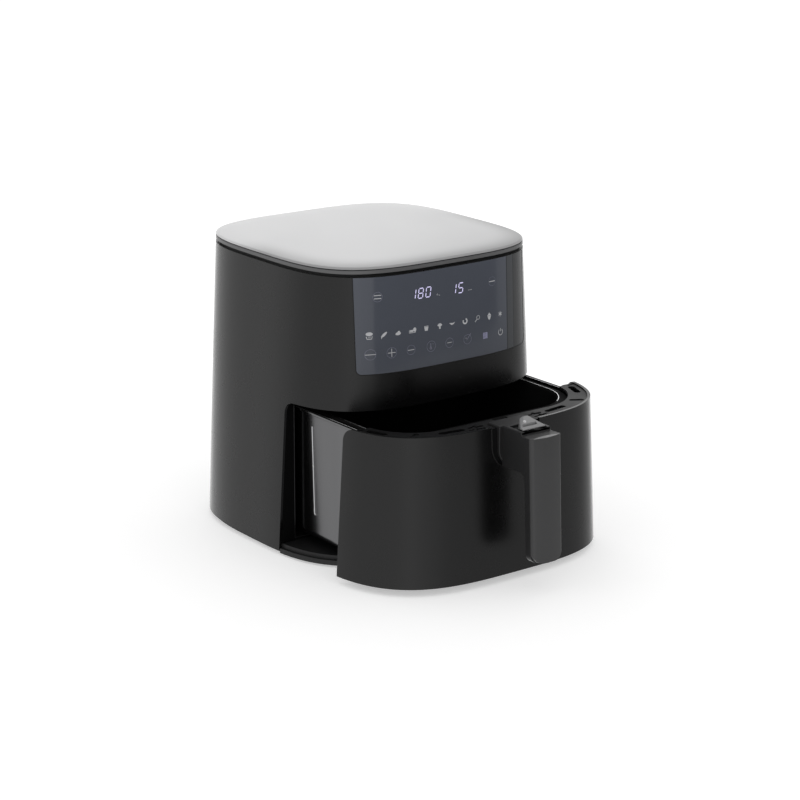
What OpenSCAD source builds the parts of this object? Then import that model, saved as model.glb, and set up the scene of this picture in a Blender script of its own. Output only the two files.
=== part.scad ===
// Air fryer with a pull-out basket drawer.
// Units are millimetres. +Z is up, the front faces -Y, and +X is to the right seen from the front.
// The origin is on the table, under the middle of the housing.

/* [Housing] */
// Width of the housing at its foot
foot_w = 317; // [310:1:324]
// Depth of the housing at its foot
foot_d = 302.6; // [300:0.2:306]
// Width of the top cover
top_w = 280; // [277:1:286]
// Depth of the top cover
top_d = 280; // [278:1:284]
// Height of the underside of the housing shell above the table
shell_foot = 6; // [5.5:0.5:7]
// Height of the top cover above the table
cover_top = 312.5; // [311:0.5:316]
// How far the foot stands forward of the top
foot_forward = 3.2; // [2:0.1:4.5]
// Wall thickness of the moulded shells
wall = 3; // [2.6:0.1:3.2]

/* [Drawer bay] */
// Height of the upper edge of the drawer opening
bay_top = 165.5; // [165:0.5:167]
// Distance of the opening's side edges in front of the middle
bay_edge = 56.5; // [55:0.5:57]
// Corner radius of the opening
bay_r = 12; // [8:1:16]
// Gap round the closed drawer front
drawer_gap = 1.5; // [1.2:0.1:2]

/* [Drawer] */
// How far the drawer stands open
drawer_open = 101; // [60:1:140]
// Height of the upper edge of the drawer front
front_top = 163; // [162.5:0.5:164]
// Outer width of the pan
pan_w = 262; // [260:1:263]
// Corner radius of the pan
pan_r = 60; // [56:1:62]
// Height of the pan's rim
rim_top = 157; // [156.5:0.5:157.5]
// Gap between the pan wall and the basket wall
basket_gap = 11.5; // [10:0.5:13]
// Pitch of the holes in the basket floor
hole_pitch = 20; // [18:1:24]

/* [Handle] */
// Width of the arm and the grip
grip_w = 38; // [36:1:40]
// Height of the grip's lower end
grip_foot = 32; // [28:1:40]
// How far the grip's front face bulges
grip_bulge = 3; // [2:0.5:3.5]

/* [Control panel] */
// Width of the glass
glass_w = 219; // [210:1:222]
// Height of the lower edge of the glass
glass_foot = 203; // [200:1:208]

/* [Hot air unit] */
// Radius of the hot air fan
fan_r = 75; // [70:1:80]
// Number of blades on the hot air fan
fan_blades = 10; // [8:1:12]
// Radius of the motor shaft
shaft_r = 4; // [3.5:0.5:4]

/* [Hidden] */

$fn = 64;
ring_points = 80;
foot_power = 3.26;
top_power = 3.68;
body_h = cover_top - shell_foot;
shell_top = cover_top - 10.3;
frame_top = cover_top - 7;
trim_top = cover_top - 3.1;
clear = 0.3;
eps = 0.01;

drawer_edge = bay_edge + drawer_gap;
front_foot = 8;
front_r = bay_r + 1;
notch_w = 62;
notch_foot = 118;
notch_r = 26;

pan_x = pan_w / 2;
pan_front = -121;
pan_back = 115;
pan_foot = 20;
sheet = 1;
basket_x = pan_x - basket_gap;
basket_front = pan_front + basket_gap + 4;
basket_back = pan_back - basket_gap;
basket_foot = 36;
basket_top = rim_top - 1;
basket_r = pan_r - 10;
deck_x = pan_x - 6.5;
deck_front = pan_front + 1.5;
deck_r = pan_r - 2;

arm_front = -178;
arm_top = 164;
arm_foot = 122;
arm_x = grip_w / 2;
grip_top = 160.5;
grip_tilt = 2.9;
grip_face = -193.7;
grip_shell = 4;

liner_gap = 5;
liner_x = pan_x + liner_gap;
liner_back = pan_back + liner_gap;
liner_sheet = 0.8;
liner_foot = 14;
rail_x = 60;
gland_x = 45;
gland_z = 38;
plate_z = 167;
shroud_r = 110;
shroud_top = 232;
hot_fan_z = 200;
motor_z = 256;

latch_pivot_y = -172;
latch_pivot_z = 150;
button_y = -162.5;
pin_r = 2;

switch_x = 142;
switch_z = 120;

// ---- outline of the housing ------------------------------------------------

function mix(a, b, t) = a + (b - a) * t;
function rise(z) = (z - shell_foot) / body_h;
function half_x(z) = mix(foot_w, top_w, rise(z)) / 2;
function half_y(z) = mix(foot_d, top_d, rise(z)) / 2;
function power(z) = mix(foot_power, top_power, rise(z));
function middle(z) = -foot_forward * (1 - rise(z));
function bend(c, p) = sign(c) * pow(abs(c), 2 / p);

// Ring of points round the housing at height z, moved inwards by inset
function ring(z, inset) = [
    for (i = [0 : ring_points - 1])
        let (t = 360 * i / ring_points)
        [
            (half_x(z) - inset) * bend(cos(t), power(z)),
            (half_y(z) - inset) * bend(sin(t), power(z)) + middle(z)
        ]
];
function lift(points, z) = [for (p = points) [p[0], p[1], z]];

// Solid of the housing's outline between two heights
module body_solid(inset, z0, z1, steps = 2) {
    n = ring_points;
    points = [for (k = [0 : steps]) each lift(ring(mix(z0, z1, k / steps), inset), mix(z0, z1, k / steps))];
    walls = [
        for (k = [0 : steps - 1])
            for (i = [0 : n - 1])
                let (a = k * n + i, b = k * n + (i + 1) % n)
                each [[a, a + n, b + n], [a, b + n, b]]
    ];
    foot = [for (i = [0 : n - 1]) i];
    head = [for (i = [0 : n - 1]) steps * n + n - 1 - i];
    polyhedron(points, concat(walls, [foot, head]));
}

// Shell of the housing's outline between two insets
module body_band(outer, inner, z0, z1) {
    difference() {
        body_solid(outer, z0, z1);
        body_solid(inner, z0 - 1, z1 + 1);
    }
}

// ---- small helpers ---------------------------------------------------------

module box(x0, x1, y0, y1, z0, z1) {
    translate([x0, y0, z0]) cube([x1 - x0, y1 - y0, z1 - z0]);
}

module tube(r, hole, z0, z1) {
    translate([0, 0, z0]) difference() {
        cylinder(r = r, h = z1 - z0);
        translate([0, 0, -1]) cylinder(r = hole, h = z1 - z0 + 2);
    }
}

// Rectangle with round corners
module round_rect(x0, x1, y0, y1, r) {
    translate([x0 + r, y0]) square([x1 - x0 - 2 * r, y1 - y0]);
    translate([x0, y0 + r]) square([x1 - x0, y1 - y0 - 2 * r]);
    for (x = [x0 + r, x1 - r], y = [y0 + r, y1 - r]) translate([x, y]) circle(r = r);
}

// Outline of the pan, grown by a margin
module pan_outline(grow) {
    round_rect(-pan_x - grow, pan_x + grow, pan_front - grow, pan_back + grow, pan_r + grow);
}

// Inner edge of the drawer's deck, which covers the pan's front corners
module deck_outline(grow) {
    round_rect(-deck_x - grow, deck_x + grow, deck_front - grow, pan_back - 1 + grow, deck_r + grow);
}

module basket_outline(grow) {
    round_rect(-basket_x - grow, basket_x + grow, basket_front - grow, basket_back + grow, basket_r + grow);
}

module flat(z0, z1) {
    translate([0, 0, z0]) linear_extrude(z1 - z0) children();
}

// Turns a drawing of (y, z) into a solid between two x planes
module across(x0, x1) {
    translate([x0, 0, 0]) rotate([90, 0, 90]) linear_extrude(x1 - x0) children();
}

// Turns a drawing of (x, z) into a solid between two y planes
module along(y0, y1) {
    translate([0, y1, 0]) rotate([90, 0, 0]) linear_extrude(y1 - y0) children();
}

// Everything in front of an edge, with a round upper corner
module front_zone(edge, top, r, foot = -20) {
    across(-200, 200) {
        translate([-260, foot]) square([260 - edge - r, top - foot]);
        translate([-260, foot]) square([260 - edge, top - foot - r]);
        translate([-edge - r, top - r]) circle(r = r);
    }
}

// The drawer and all that rides on it, moved out to where it stands
module pulled_out() {
    translate([0, -drawer_open, 0]) children();
}

// ---- housing ---------------------------------------------------------------

module top_cover() {
    color("gainsboro") {
        body_solid(0, trim_top + 0.8, cover_top, 1);
        difference() {
            body_solid(1.2, trim_top, trim_top + 0.8 + eps, 1);
            body_solid(10, trim_top - 1, trim_top + 0.8, 1);
        }
        difference() {
            body_solid(8.3, trim_top - 3.5, trim_top + eps, 1);
            body_solid(10, trim_top - 5, trim_top + 1, 1);
        }
    }
}

module top_trim_ring() {
    color("silver") body_band(0, 8, frame_top, trim_top);
}

module top_frame() {
    color("black") difference() {
        body_solid(wall + clear, shell_top - 6, frame_top, 1);
        body_solid(12, shell_top - 7, frame_top + 1, 1);
    }
}

module glass_zone(grow) {
    half = glass_w / 2 + grow;
    along(-200, -60) round_rect(-half, half, glass_foot - grow, shell_top + 40, 5);
}

module housing_shell() {
    color("#2b2b2d") difference() {
        body_solid(0, shell_foot, shell_top, 3);
        body_solid(wall, shell_foot - 1, shell_top + 1, 3);
        front_zone(bay_edge, bay_top, bay_r);
        intersection() {
            glass_zone(0.2);
            body_band(-1, 1.6, glass_foot - 5, shell_top + 2);
        }
        box(-58, 58, 100, 180, 196, 284);
        translate([gland_x, 100, gland_z]) rotate([-90, 0, 0]) cylinder(r = 9, h = 60);
    }
}

module control_glass() {
    color("#44474e") intersection() {
        glass_zone(0);
        body_band(0, 1.4, glass_foot - 4, shell_top);
    }
}

module glass_carrier() {
    color("#202022") difference() {
        intersection() {
            body_band(wall + clear, wall + 2.5, glass_foot + 5, shell_top - 8);
            box(-95, 95, -180, -60, 0, 400);
        }
        box(-70, 50, -180, -60, 255, shell_top - 20);
    }
}

module display_board() {
    color("darkgreen") difference() {
        box(-78, 78, -126.6, -125, glass_foot + 8, shell_top - 16);
        for (x = [-72, 72], z = [glass_foot + 14, shell_top - 22])
            translate([x, -130, z]) rotate([-90, 0, 0]) cylinder(r = 1.6, h = 10);
    }
}

module display_module() {
    color("white") box(-66, 46, -134, -126.9, 258, shell_top - 23);
}

module foot_pocket(r, z0, z1) {
    for (x = [-104, 104], y = [-92, 92]) translate([x, y, z0]) cylinder(r = r, h = z1 - z0);
}

screw_places = [[-125, 40], [125, 40], [-125, -30], [125, -30], [-50, 118], [50, 118]];

module base_plate() {
    color("#1c1c1e") difference() {
        union() {
            body_solid(wall + clear + 0.2, 2.5, 12, 1);
            intersection() {
                body_solid(0.4, 2.5, front_foot - 0.4, 1);
                box(-200, 200, -200, -bay_edge - 1, 0, 20);
            }
            intersection() {
                body_solid(wall + clear, shell_foot, 12, 1);
                box(-200, 200, -bay_edge + 0.5, 200, 0, 20);
            }
        }
        foot_pocket(11.3, 0, 5);
        for (i = [-4 : 4]) box(i * 12 - 2, i * 12 + 2, 30, 80, 0, 20);
        for (p = screw_places) translate([p[0], p[1], 0]) {
            cylinder(r = 4.5, h = 5);
            cylinder(r = 2.1, h = 20);
        }
    }
}

module rubber_feet() {
    color("#333333") foot_pocket(11, 0, 5);
}

module base_screws() {
    color("silver") for (p = screw_places) translate([p[0], p[1], 0]) {
        translate([0, 0, 3.2]) cylinder(r = 3.8, h = 1.79);
        translate([0, 0, 4.9]) cylinder(r = 2, h = 7);
    }
}

module rear_vent_grille() {
    color("#242426") difference() {
        intersection() {
            body_band(0, wall + 1, 195, 285);
            box(-57.6, 57.6, 100, 180, 196.4, 283.6);
        }
        for (i = [0 : 8]) box(-50, 50, 100, 180, 203 + i * 8.6, 207.4 + i * 8.6);
    }
}

module cord_inlet_gland() {
    color("#161616") translate([gland_x, 0, gland_z]) rotate([-90, 0, 0]) difference() {
        union() {
            translate([0, 0, 136]) cylinder(r = 8.7, h = 13);
            translate([0, 0, 147.3]) cylinder(r = 12, h = 2.7);
        }
        translate([0, 0, 120]) cylinder(r = 4, h = 40);
    }
}

module opening_trim() {
    color("#151515") difference() {
        body_solid(wall + clear, 12.2, plate_z - 2, 2);
        box(-200, 200, -53.5, 200, 0, 200);
        box(-200, 200, -200, -bay_edge, 0, 200);
        box(-liner_x - 1, liner_x + 1, -200, 200, 0, 200);
        translate([switch_x, -60, switch_z]) rotate([-90, 0, 0]) cylinder(r = 2.6, h = 10);
    }
}

module cavity_liner() {
    color("#6a6a6c") difference() {
        flat(liner_foot, plate_z - 0.2) pan_outline(liner_gap + liner_sheet);
        flat(liner_foot + liner_sheet, plate_z) pan_outline(liner_gap);
        box(-200, 200, -200, -bay_edge, 0, 200);
        box(-40, 40, liner_back - 1, liner_back + 2, 124, 154);
    }
}

module guide_rails() {
    color("silver") for (s = [-1, 1])
        box(s * rail_x - 6, s * rail_x + 6, -bay_edge + 2, 100, liner_foot + liner_sheet, pan_foot - clear);
}

module chamber_plate() {
    color("#5a5a5c") difference() {
        flat(plate_z, plate_z + 1.2) polygon(ring(plate_z, wall + 0.6));
        translate([0, 0, plate_z - 1]) cylinder(r = shroud_r - 4, h = 4);
        for (a = [45 : 90 : 315]) rotate(a) translate([shroud_r + 8, 0, plate_z - 1]) cylinder(r = 1.8, h = 4);
    }
}

module heat_shroud() {
    color("#8d8d90") difference() {
        union() {
            tube(shroud_r, shroud_r - 1, plate_z + 1.2, shroud_top);
            tube(shroud_r, 9, shroud_top - 1, shroud_top);
            tube(shroud_r + 14, shroud_r - 1, plate_z + 1.2, plate_z + 2.2);
        }
        for (a = [45 : 90 : 315]) rotate(a) translate([shroud_r + 8, 0, plate_z]) cylinder(r = 1.8, h = 4);
        rotate(20) translate([shroud_r - 5, 0, 184]) rotate([0, 90, 0]) {
            translate([0, 8, 0]) cylinder(r = 4, h = 10);
            translate([0, -8, 0]) cylinder(r = 4, h = 10);
        }
        rotate(160) translate([shroud_r - 5, 0, 205]) rotate([0, 90, 0]) cylinder(r = 3.2, h = 10);
    }
}

module shroud_screws() {
    color("silver") for (a = [45 : 90 : 315]) rotate(a) translate([shroud_r + 8, 0, 0]) {
        translate([0, 0, plate_z - 3]) cylinder(r = 1.7, h = 5.3);
        translate([0, 0, plate_z + 2.25]) cylinder(r = 3.4, h = 2);
    }
}

// ---- hot air unit ----------------------------------------------------------

element_r = 3.3;
element_z = 184;

module element_ring(r, gap) {
    translate([0, 0, element_z]) rotate(20 + gap) rotate_extrude(angle = 360 - 2 * gap)
        translate([r, 0]) circle(r = element_r);
}

module element_leg(r0, r1, side) {
    rotate(20) translate([r0, side * 8, element_z]) rotate([0, 90, 0]) cylinder(r = element_r, h = r1 - r0);
}

module heating_element() {
    color("dimgray") {
        element_ring(58, 10);
        element_ring(78, 7);
        element_ring(97, 5);
        element_leg(57, 124, 1);
        element_leg(57, 124, -1);
    }
}

module element_brackets() {
    color("silver") for (a = [80, 200, 320]) rotate(a) {
        box(50, 106, -5, 5, element_z + element_r + 0.1, element_z + element_r + 1.3);
        box(104.8, 106, -5, 5, element_z + element_r + 1.2, 198);
        box(104.8, shroud_r - 1.05, -5, 5, 196.8, 198);
    }
}

module fan_guard() {
    wire = 1.2;
    color("silver") {
        for (r = [22 : 16 : 102]) tube(r + wire, r - wire, 173, 175.2);
        for (a = [0 : 45 : 135]) rotate(a) box(-107, 107, -wire, wire, 175, 177.2);
    }
}

module hot_air_fan() {
    color("silver") difference() {
        union() {
            translate([0, 0, hot_fan_z + 20]) cylinder(r = fan_r, h = 1.2);
            translate([0, 0, hot_fan_z + 6]) cylinder(r = 11, h = 16);
            for (i = [0 : fan_blades - 1]) rotate(i * 360 / fan_blades)
                translate([26, -0.6, hot_fan_z]) cube([fan_r - 27, 1.2, 20.5]);
        }
        translate([0, 0, hot_fan_z]) cylinder(r = shaft_r, h = 40);
    }
}

module fan_nut() {
    color("gray") difference() {
        translate([0, 0, hot_fan_z + 0.4]) cylinder(r = 6, h = 5.5, $fn = 6);
        translate([0, 0, hot_fan_z - 1]) cylinder(r = shaft_r - 1, h = 10);
    }
}

module motor_shaft() {
    color("lightgray") {
        translate([0, 0, hot_fan_z + 6]) cylinder(r = shaft_r, h = motor_z + 34 - hot_fan_z - 6);
        translate([0, 0, hot_fan_z - 2]) cylinder(r = shaft_r - 1, h = 8 + eps);
    }
}

module cooling_fan() {
    color("#333333") difference() {
        union() {
            translate([0, 0, 236]) cylinder(r = 14, h = 10);
            translate([0, 0, 236]) cylinder(r = 58, h = 1.2);
            for (i = [0 : 11]) rotate(i * 30) translate([20, -0.7, 237]) cube([36, 1.4, 8]);
        }
        translate([0, 0, 230]) cylinder(r = shaft_r, h = 30);
    }
}

module motor_posts() {
    color("silver") for (x = [-64, 64], y = [-40, 40])
        translate([x, y, shroud_top]) cylinder(r = 4, h = motor_z - 4 - shroud_top);
}

module motor_bracket() {
    color("gray") {
        difference() {
            box(-72, 72, -47, 47, motor_z - 4, motor_z - 2);
            translate([0, 0, motor_z - 10]) cylinder(r = 7, h = 20);
            for (x = [-48, 48], y = [-26, 26]) translate([x, y, motor_z - 5]) cylinder(r = 9, h = 5);
        }
        difference() {
            box(-30, 30, -12, 12, motor_z + 30, motor_z + 32);
            translate([0, 0, motor_z + 20]) cylinder(r = 7, h = 20);
        }
        for (s = [-1, 1]) box(s * 30 - 1, s * 30 + 1, -12, 12, motor_z - 2, motor_z + 32);
    }
}

module bearing_bushes() {
    color("goldenrod") {
        tube(6.9, shaft_r + 0.05, motor_z - 5, motor_z);
        tube(6.9, shaft_r + 0.05, motor_z + 28, motor_z + 33);
    }
}

module motor_rotor() {
    color("#5c5c60") tube(14.5, shaft_r, motor_z + 3, motor_z + 23);
}

module motor_stator() {
    color("#77777a") difference() {
        box(-28, 28, -30, 34, motor_z + 3, motor_z + 23);
        translate([0, 0, motor_z]) cylinder(r = 15, h = 30);
        box(-14, 14, 19, 27, motor_z, motor_z + 30);
    }
}

module motor_coil() {
    color("peru") difference() {
        box(-13.5, 13.5, 19.5, 42, motor_z - 1, motor_z + 27);
        box(-29, 29, 26.8, 34.2, motor_z + 2.8, motor_z + 23.2);
    }
}

// ---- electrics -------------------------------------------------------------

module board_posts() {
    color("#202022") for (x = [-52, 52], z = [70, 150])
        translate([x, 0, z]) rotate([-90, 0, 0]) translate([0, 0, liner_back + liner_sheet]) cylinder(r = 3, h = 5);
}

module power_board() {
    color("darkgreen") {
        box(-58, 58, liner_back + 5.8, liner_back + 7.4, 64, 156);
        box(-45, -27, liner_back + 7.4, liner_back + 15, 80, 110);
        box(10, 26, liner_back + 7.4, liner_back + 17, 90, 106);
        box(-10, 2, liner_back + 7.4, liner_back + 14, 110, 140);
    }
}

module exhaust_duct() {
    color("#3a3a3c") difference() {
        box(-56, 56, shroud_r + 16, shroud_r + 24.5, plate_z + 3, 290);
        box(-54, 54, shroud_r + 18, shroud_r + 27, plate_z + 5, 288);
        box(-50, 50, shroud_r + 15, shroud_r + 19, 240, 286);
    }
}

module temperature_sensor() {
    color("silver") rotate(160) translate([shroud_r - 12, 0, 205]) rotate([0, 90, 0]) {
        cylinder(r = 2.4, h = 12);
        translate([0, 0, 12]) cylinder(r = 5, h = 4);
    }
}

module thermal_fuse() {
    color("ivory") translate([70, 70, shroud_top]) {
        cylinder(r = 8, h = 6);
        translate([0, 0, 6]) cylinder(r = 5, h = 3);
    }
}

module door_switch() {
    color("#1b2a4a") difference() {
        box(switch_x - 3.2, switch_x + 3.2, -53.45, -33.4, switch_z - 5, switch_z + 5);
        translate([switch_x, -54, switch_z]) rotate([-90, 0, 0]) cylinder(r = 1.6, h = 11);
    }
}

module switch_plunger() {
    color("red") translate([switch_x, -57.7, switch_z]) rotate([-90, 0, 0]) cylinder(r = 1.5, h = 11.7);
}

// ---- drawer ----------------------------------------------------------------

// U-shaped outline of the notch for the handle, open at the top
module notch(half, foot, r) {
    translate([-half, foot + r]) square([2 * half, 60]);
    translate([-half + r, foot]) square([2 * half - 2 * r, 60]);
    for (s = [-1, 1]) translate([s * (half - r), foot + r]) circle(r = r);
}

module drawer_front() {
    color("#2b2b2d") pulled_out() difference() {
        intersection() {
            body_band(0, wall, front_foot, front_top);
            front_zone(drawer_edge, front_top, front_r, 0);
        }
        along(-200, -100) notch(notch_w / 2, notch_foot, notch_r);
    }
}

module frame_slots() {
    for (s = [-1, 1]) {
        translate([s * 66.5, -129, 0]) rotate(s * 8) box(-13.5, 13.5, -3.2, 3.2, 140, 170);
        translate([s * 129, -89, 0]) rotate(-s * 21) box(-3.6, 3.6, -10.5, 10.5, 140, 170);
        translate([s * 105, -119, 0]) rotate(s * 12) box(-4.5, 4.5, -10, 10, front_top - 2.7, 170);
    }
}

module drawer_frame() {
    color("#343437") pulled_out() difference() {
        union() {
            intersection() {
                union() {
                    difference() {
                        union() {
                            body_solid(wall + clear, front_top - 4.5, front_top - 1.5, 1);
                            flat(rim_top + 0.8, front_top - 4) deck_outline(2);
                        }
                        flat(100, 200) deck_outline(0);
                    }
                    difference() {
                        flat(146, front_top - 4) pan_outline(3.6);
                        flat(100, 200) pan_outline(1.6);
                    }
                    difference() {
                        body_solid(wall + clear + 0.4, front_foot + 6, front_top - 3.6, 2);
                        box(-134, 134, -300, 300, 0, 200);
                        front_zone(drawer_edge + 2.5, front_top - 4, front_r - 2.5, 0);
                    }
                }
                front_zone(drawer_edge, front_top - 1.5, front_r, 0);
            }
            intersection() {
                body_band(2, wall + 3, notch_foot - 6, front_top - 1.5);
                along(-200, -100) notch(notch_w / 2 - 0.4, notch_foot + 0.4, notch_r - 0.4);
            }
        }
        along(-200, -100) notch(23.3, 119.7, 20.3);
        box(-9, 9, -130, -110, 136, 170);
        frame_slots();
    }
}

module outer_pan() {
    color("#8b8b8d") pulled_out() difference() {
        union() {
            flat(pan_foot, rim_top - 3) pan_outline(0);
            flat(rim_top - 3, rim_top) pan_outline(1.2);
        }
        flat(pan_foot + sheet, rim_top + 1) pan_outline(-sheet);
        box(-9, 9, pan_front - 4, pan_front + 4, rim_top - 7, rim_top + 1);
    }
}

module inner_basket() {
    holes = [-5 : 5];
    color("#1a1a1a") pulled_out() difference() {
        union() {
            flat(basket_foot, basket_top) basket_outline(0);
            flat(basket_top - 1.2, basket_top) deck_outline(-0.7);
        }
        flat(basket_foot + sheet, basket_top + 1) basket_outline(-sheet);
        for (i = holes, j = holes)
            if (norm([i, j]) < 5.4)
                translate([i * hole_pitch, j * hole_pitch - 1, basket_foot - 1]) cylinder(r = 3, h = 4);
    }
}

module basket_rim() {
    color("silver") pulled_out() difference() {
        flat(basket_top + 0.02, basket_top + 0.8) basket_outline(1);
        flat(basket_top - 1, basket_top + 3) basket_outline(-1);
    }
}

module basket_feet() {
    color("dimgray") pulled_out() for (x = [-80, 80], y = [-70, 66])
        translate([x, y, pan_foot + sheet + 0.02]) cylinder(r = 7, h = basket_foot - pan_foot - sheet - 0.04);
}

module basket_catch() {
    color("silver") pulled_out() difference() {
        union() {
            box(-7, 7, -128.6, basket_front - 0.05, basket_top - 3.3, basket_top - 1.8);
            box(-7, 7, basket_front - 1.25, basket_front - 0.05, basket_top - 20, basket_top - 1.8);
        }
        box(-4.4, 4.4, -127.6, -122.9, 140, 170);
    }
}

module pan_bracket() {
    color("silver") pulled_out() difference() {
        union() {
            box(-30, 30, pan_front - 1.55, pan_front - 0.05, 60, 134);
            box(-19, 19, -131.3, pan_front - 0.05, 98.5, 100);
            box(-19, 19, -131.3, -129.8, 98.5, 134);
        }
        for (x = [-13, 13]) translate([x, -135, 128]) rotate([-90, 0, 0]) cylinder(r = 1.8, h = 10);
    }
}

module bracket_screws() {
    color("silver") pulled_out() for (x = [-13, 13]) translate([x, 0, 128]) rotate([90, 0, 0]) {
        translate([0, 0, 129.7]) cylinder(r = 1.7, h = 14);
        translate([0, 0, 126.8]) cylinder(r = 3.2, h = 3);
    }
}

// ---- handle ----------------------------------------------------------------

// Places a piece drawn upright at y = 0 on the leaning front of the grip
module leaning() {
    translate([0, grip_face, grip_top]) rotate([-grip_tilt, 0, 0]) children();
}
grip_len = grip_top - grip_foot;

module handle_arm() {
    color("#29292b") pulled_out() difference() {
        union() {
            along(-149.5, -131.5) notch(23, 120, 20);
            box(-22.9, 22.9, -132, -124.4, 158.6, arm_top);
            box(-arm_x, arm_x, arm_front, -148, arm_foot, arm_top);
            box(-arm_x, arm_x, -187, arm_front + 1, arm_foot, grip_top);
            leaning() along(grip_shell, 12)
                translate([0, -grip_len]) round_rect(-arm_x, arm_x, 0, grip_len, 9);
        }
        box(-50, 50, -200, -100, arm_top, 220);
        box(-14.6, 14.6, arm_front - 1, -154, arm_top - 3.4, arm_top + 5);
        box(-5, 5, -177, -131, 138, 156);
        box(-5, 5, -134, -120, 136, 160);
        translate([0, button_y, 150]) cylinder(r = 3.3, h = 20);
        translate([0, button_y, 156]) cylinder(r = 5.2, h = 20);
        translate([-30, latch_pivot_y, latch_pivot_z]) rotate([0, 90, 0]) cylinder(r = pin_r, h = 60);
        for (x = [-13, 13]) translate([x, -120, 128]) rotate([90, 0, 0]) cylinder(r = 1.72, h = 24);
        for (z = [-40, -100]) leaning() translate([0, 20, z]) rotate([90, 0, 0]) {
            cylinder(r = 1.8, h = 20);
            cylinder(r = 3.6, h = 10.5);
        }
    }
}

module handle_grip() {
    sweep = (pow(arm_x, 2) + pow(grip_bulge, 2)) / (2 * grip_bulge);
    color("#3a3a3d") pulled_out() difference() {
        leaning() intersection() {
            translate([0, 0, -grip_len - 1]) linear_extrude(grip_len + 1) intersection() {
                translate([-arm_x - 2, -grip_bulge]) square([grip_w + 4, grip_shell + grip_bulge]);
                translate([0, sweep - grip_bulge]) circle(r = sweep, $fn = 200);
            }
            along(-20, 20) translate([0, -grip_len]) round_rect(-arm_x, arm_x, 0, grip_len + 20, 12);
        }
        for (z = [-40, -100]) leaning() translate([0, 10, z]) rotate([90, 0, 0]) cylinder(r = 1.4, h = 10);
    }
}

module grip_screws() {
    color("silver") pulled_out() leaning() for (z = [-40, -100]) translate([0, 9.5, z]) rotate([90, 0, 0]) {
        cylinder(r = 1.35, h = 9);
        translate([0, 0, -1.6]) cylinder(r = 3, h = 1.6);
    }
}

module release_cover() {
    front = arm_front + 3;
    back = arm_front + 21;
    low = arm_top + 0.6;
    high = arm_top + 10;
    color([0.75, 0.76, 0.78, 0.7]) pulled_out() difference() {
        intersection() {
            across(-14.2, 14.2) polygon([
                [front, arm_top - 0.6], [front, low], [back - 3, high], [back, high - 1],
                [back, arm_top - 3], [front + 4, arm_top - 3], [front + 4, arm_top - 0.6]
            ]);
            flat(100, 200) polygon([
                [-14.2, front - 1], [14.2, front - 1], [14.2, front + 1], [8.2, back + 1],
                [-8.2, back + 1], [-14.2, front + 1]
            ]);
        }
        across(-5.6, 5.6) polygon([
            [front + 5, arm_top - 4], [front + 5, low + 1.6], [back - 3, high - 1.8], [back + 1, high - 1.8],
            [back + 1, arm_top - 4]
        ]);
    }
}

module release_button() {
    color("lightgray") pulled_out() translate([0, button_y, 0]) {
        translate([0, 0, 153.5]) cylinder(r = 0.8, h = 2);
        translate([0, 0, 155]) cylinder(r = 3, h = 4);
        translate([0, 0, 158.6]) cylinder(r = 4.6, h = 9);
    }
}

module release_spring() {
    color("silver") pulled_out() translate([0, button_y, 0]) tube(4.5, 3.5, 156.1, 158.5);
}

module latch_hook() {
    color("gray") pulled_out() difference() {
        across(-4, 4) polygon([
            [-175.5, 147], [-140, 147], [-123.8, 149], [-123.8, 157.6], [-126.2, 157.6],
            [-126.8, 156], [-126.8, 152.4], [-142, 153], [-175.5, 153]
        ]);
        translate([-5, latch_pivot_y, latch_pivot_z]) rotate([0, 90, 0]) cylinder(r = pin_r + 0.06, h = 10);
    }
}

module latch_pin() {
    color("silver") pulled_out() translate([-16, latch_pivot_y, latch_pivot_z])
        rotate([0, 90, 0]) cylinder(r = pin_r, h = 32);
}

top_cover();
top_trim_ring();
top_frame();
housing_shell();
control_glass();
glass_carrier();
display_board();
display_module();
base_plate();
rubber_feet();
base_screws();
rear_vent_grille();
cord_inlet_gland();
opening_trim();
cavity_liner();
guide_rails();
chamber_plate();
heat_shroud();
shroud_screws();
heating_element();
element_brackets();
fan_guard();
hot_air_fan();
fan_nut();
motor_shaft();
cooling_fan();
motor_bracket();
motor_posts();
bearing_bushes();
motor_rotor();
motor_stator();
motor_coil();
power_board();
board_posts();
exhaust_duct();
temperature_sensor();
thermal_fuse();
door_switch();
switch_plunger();
drawer_front();
drawer_frame();
outer_pan();
inner_basket();
basket_rim();
basket_catch();
basket_feet();
pan_bracket();
bracket_screws();
handle_arm();
handle_grip();
grip_screws();
release_cover();
release_button();
release_spring();
latch_hook();
latch_pin();
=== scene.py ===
from math import asin, atan2, cos, hypot, pi, radians, sin, sqrt

import bmesh
import bpy
import numpy as np
from mathutils import Matrix, Vector


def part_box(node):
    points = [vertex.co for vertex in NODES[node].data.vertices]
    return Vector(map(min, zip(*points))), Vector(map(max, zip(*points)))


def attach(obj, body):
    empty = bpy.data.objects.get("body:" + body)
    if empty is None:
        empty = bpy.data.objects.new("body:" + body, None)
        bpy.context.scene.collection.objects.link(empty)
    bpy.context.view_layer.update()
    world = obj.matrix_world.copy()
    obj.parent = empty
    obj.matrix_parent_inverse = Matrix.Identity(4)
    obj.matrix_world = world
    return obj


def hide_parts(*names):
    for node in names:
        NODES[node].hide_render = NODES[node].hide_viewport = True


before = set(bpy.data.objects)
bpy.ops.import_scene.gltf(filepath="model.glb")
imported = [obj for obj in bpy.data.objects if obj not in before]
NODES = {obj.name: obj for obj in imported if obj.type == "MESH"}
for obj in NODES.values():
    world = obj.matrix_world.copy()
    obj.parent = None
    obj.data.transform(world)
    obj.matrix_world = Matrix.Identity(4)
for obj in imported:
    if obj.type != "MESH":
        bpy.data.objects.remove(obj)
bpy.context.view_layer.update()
scene = bpy.context.scene

# The object is drawn in millimetres in the CAD's frame. Meshes are scaled to metres when they are made.
# The lamp and the camera are placed in metres.
MM = 0.001


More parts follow.
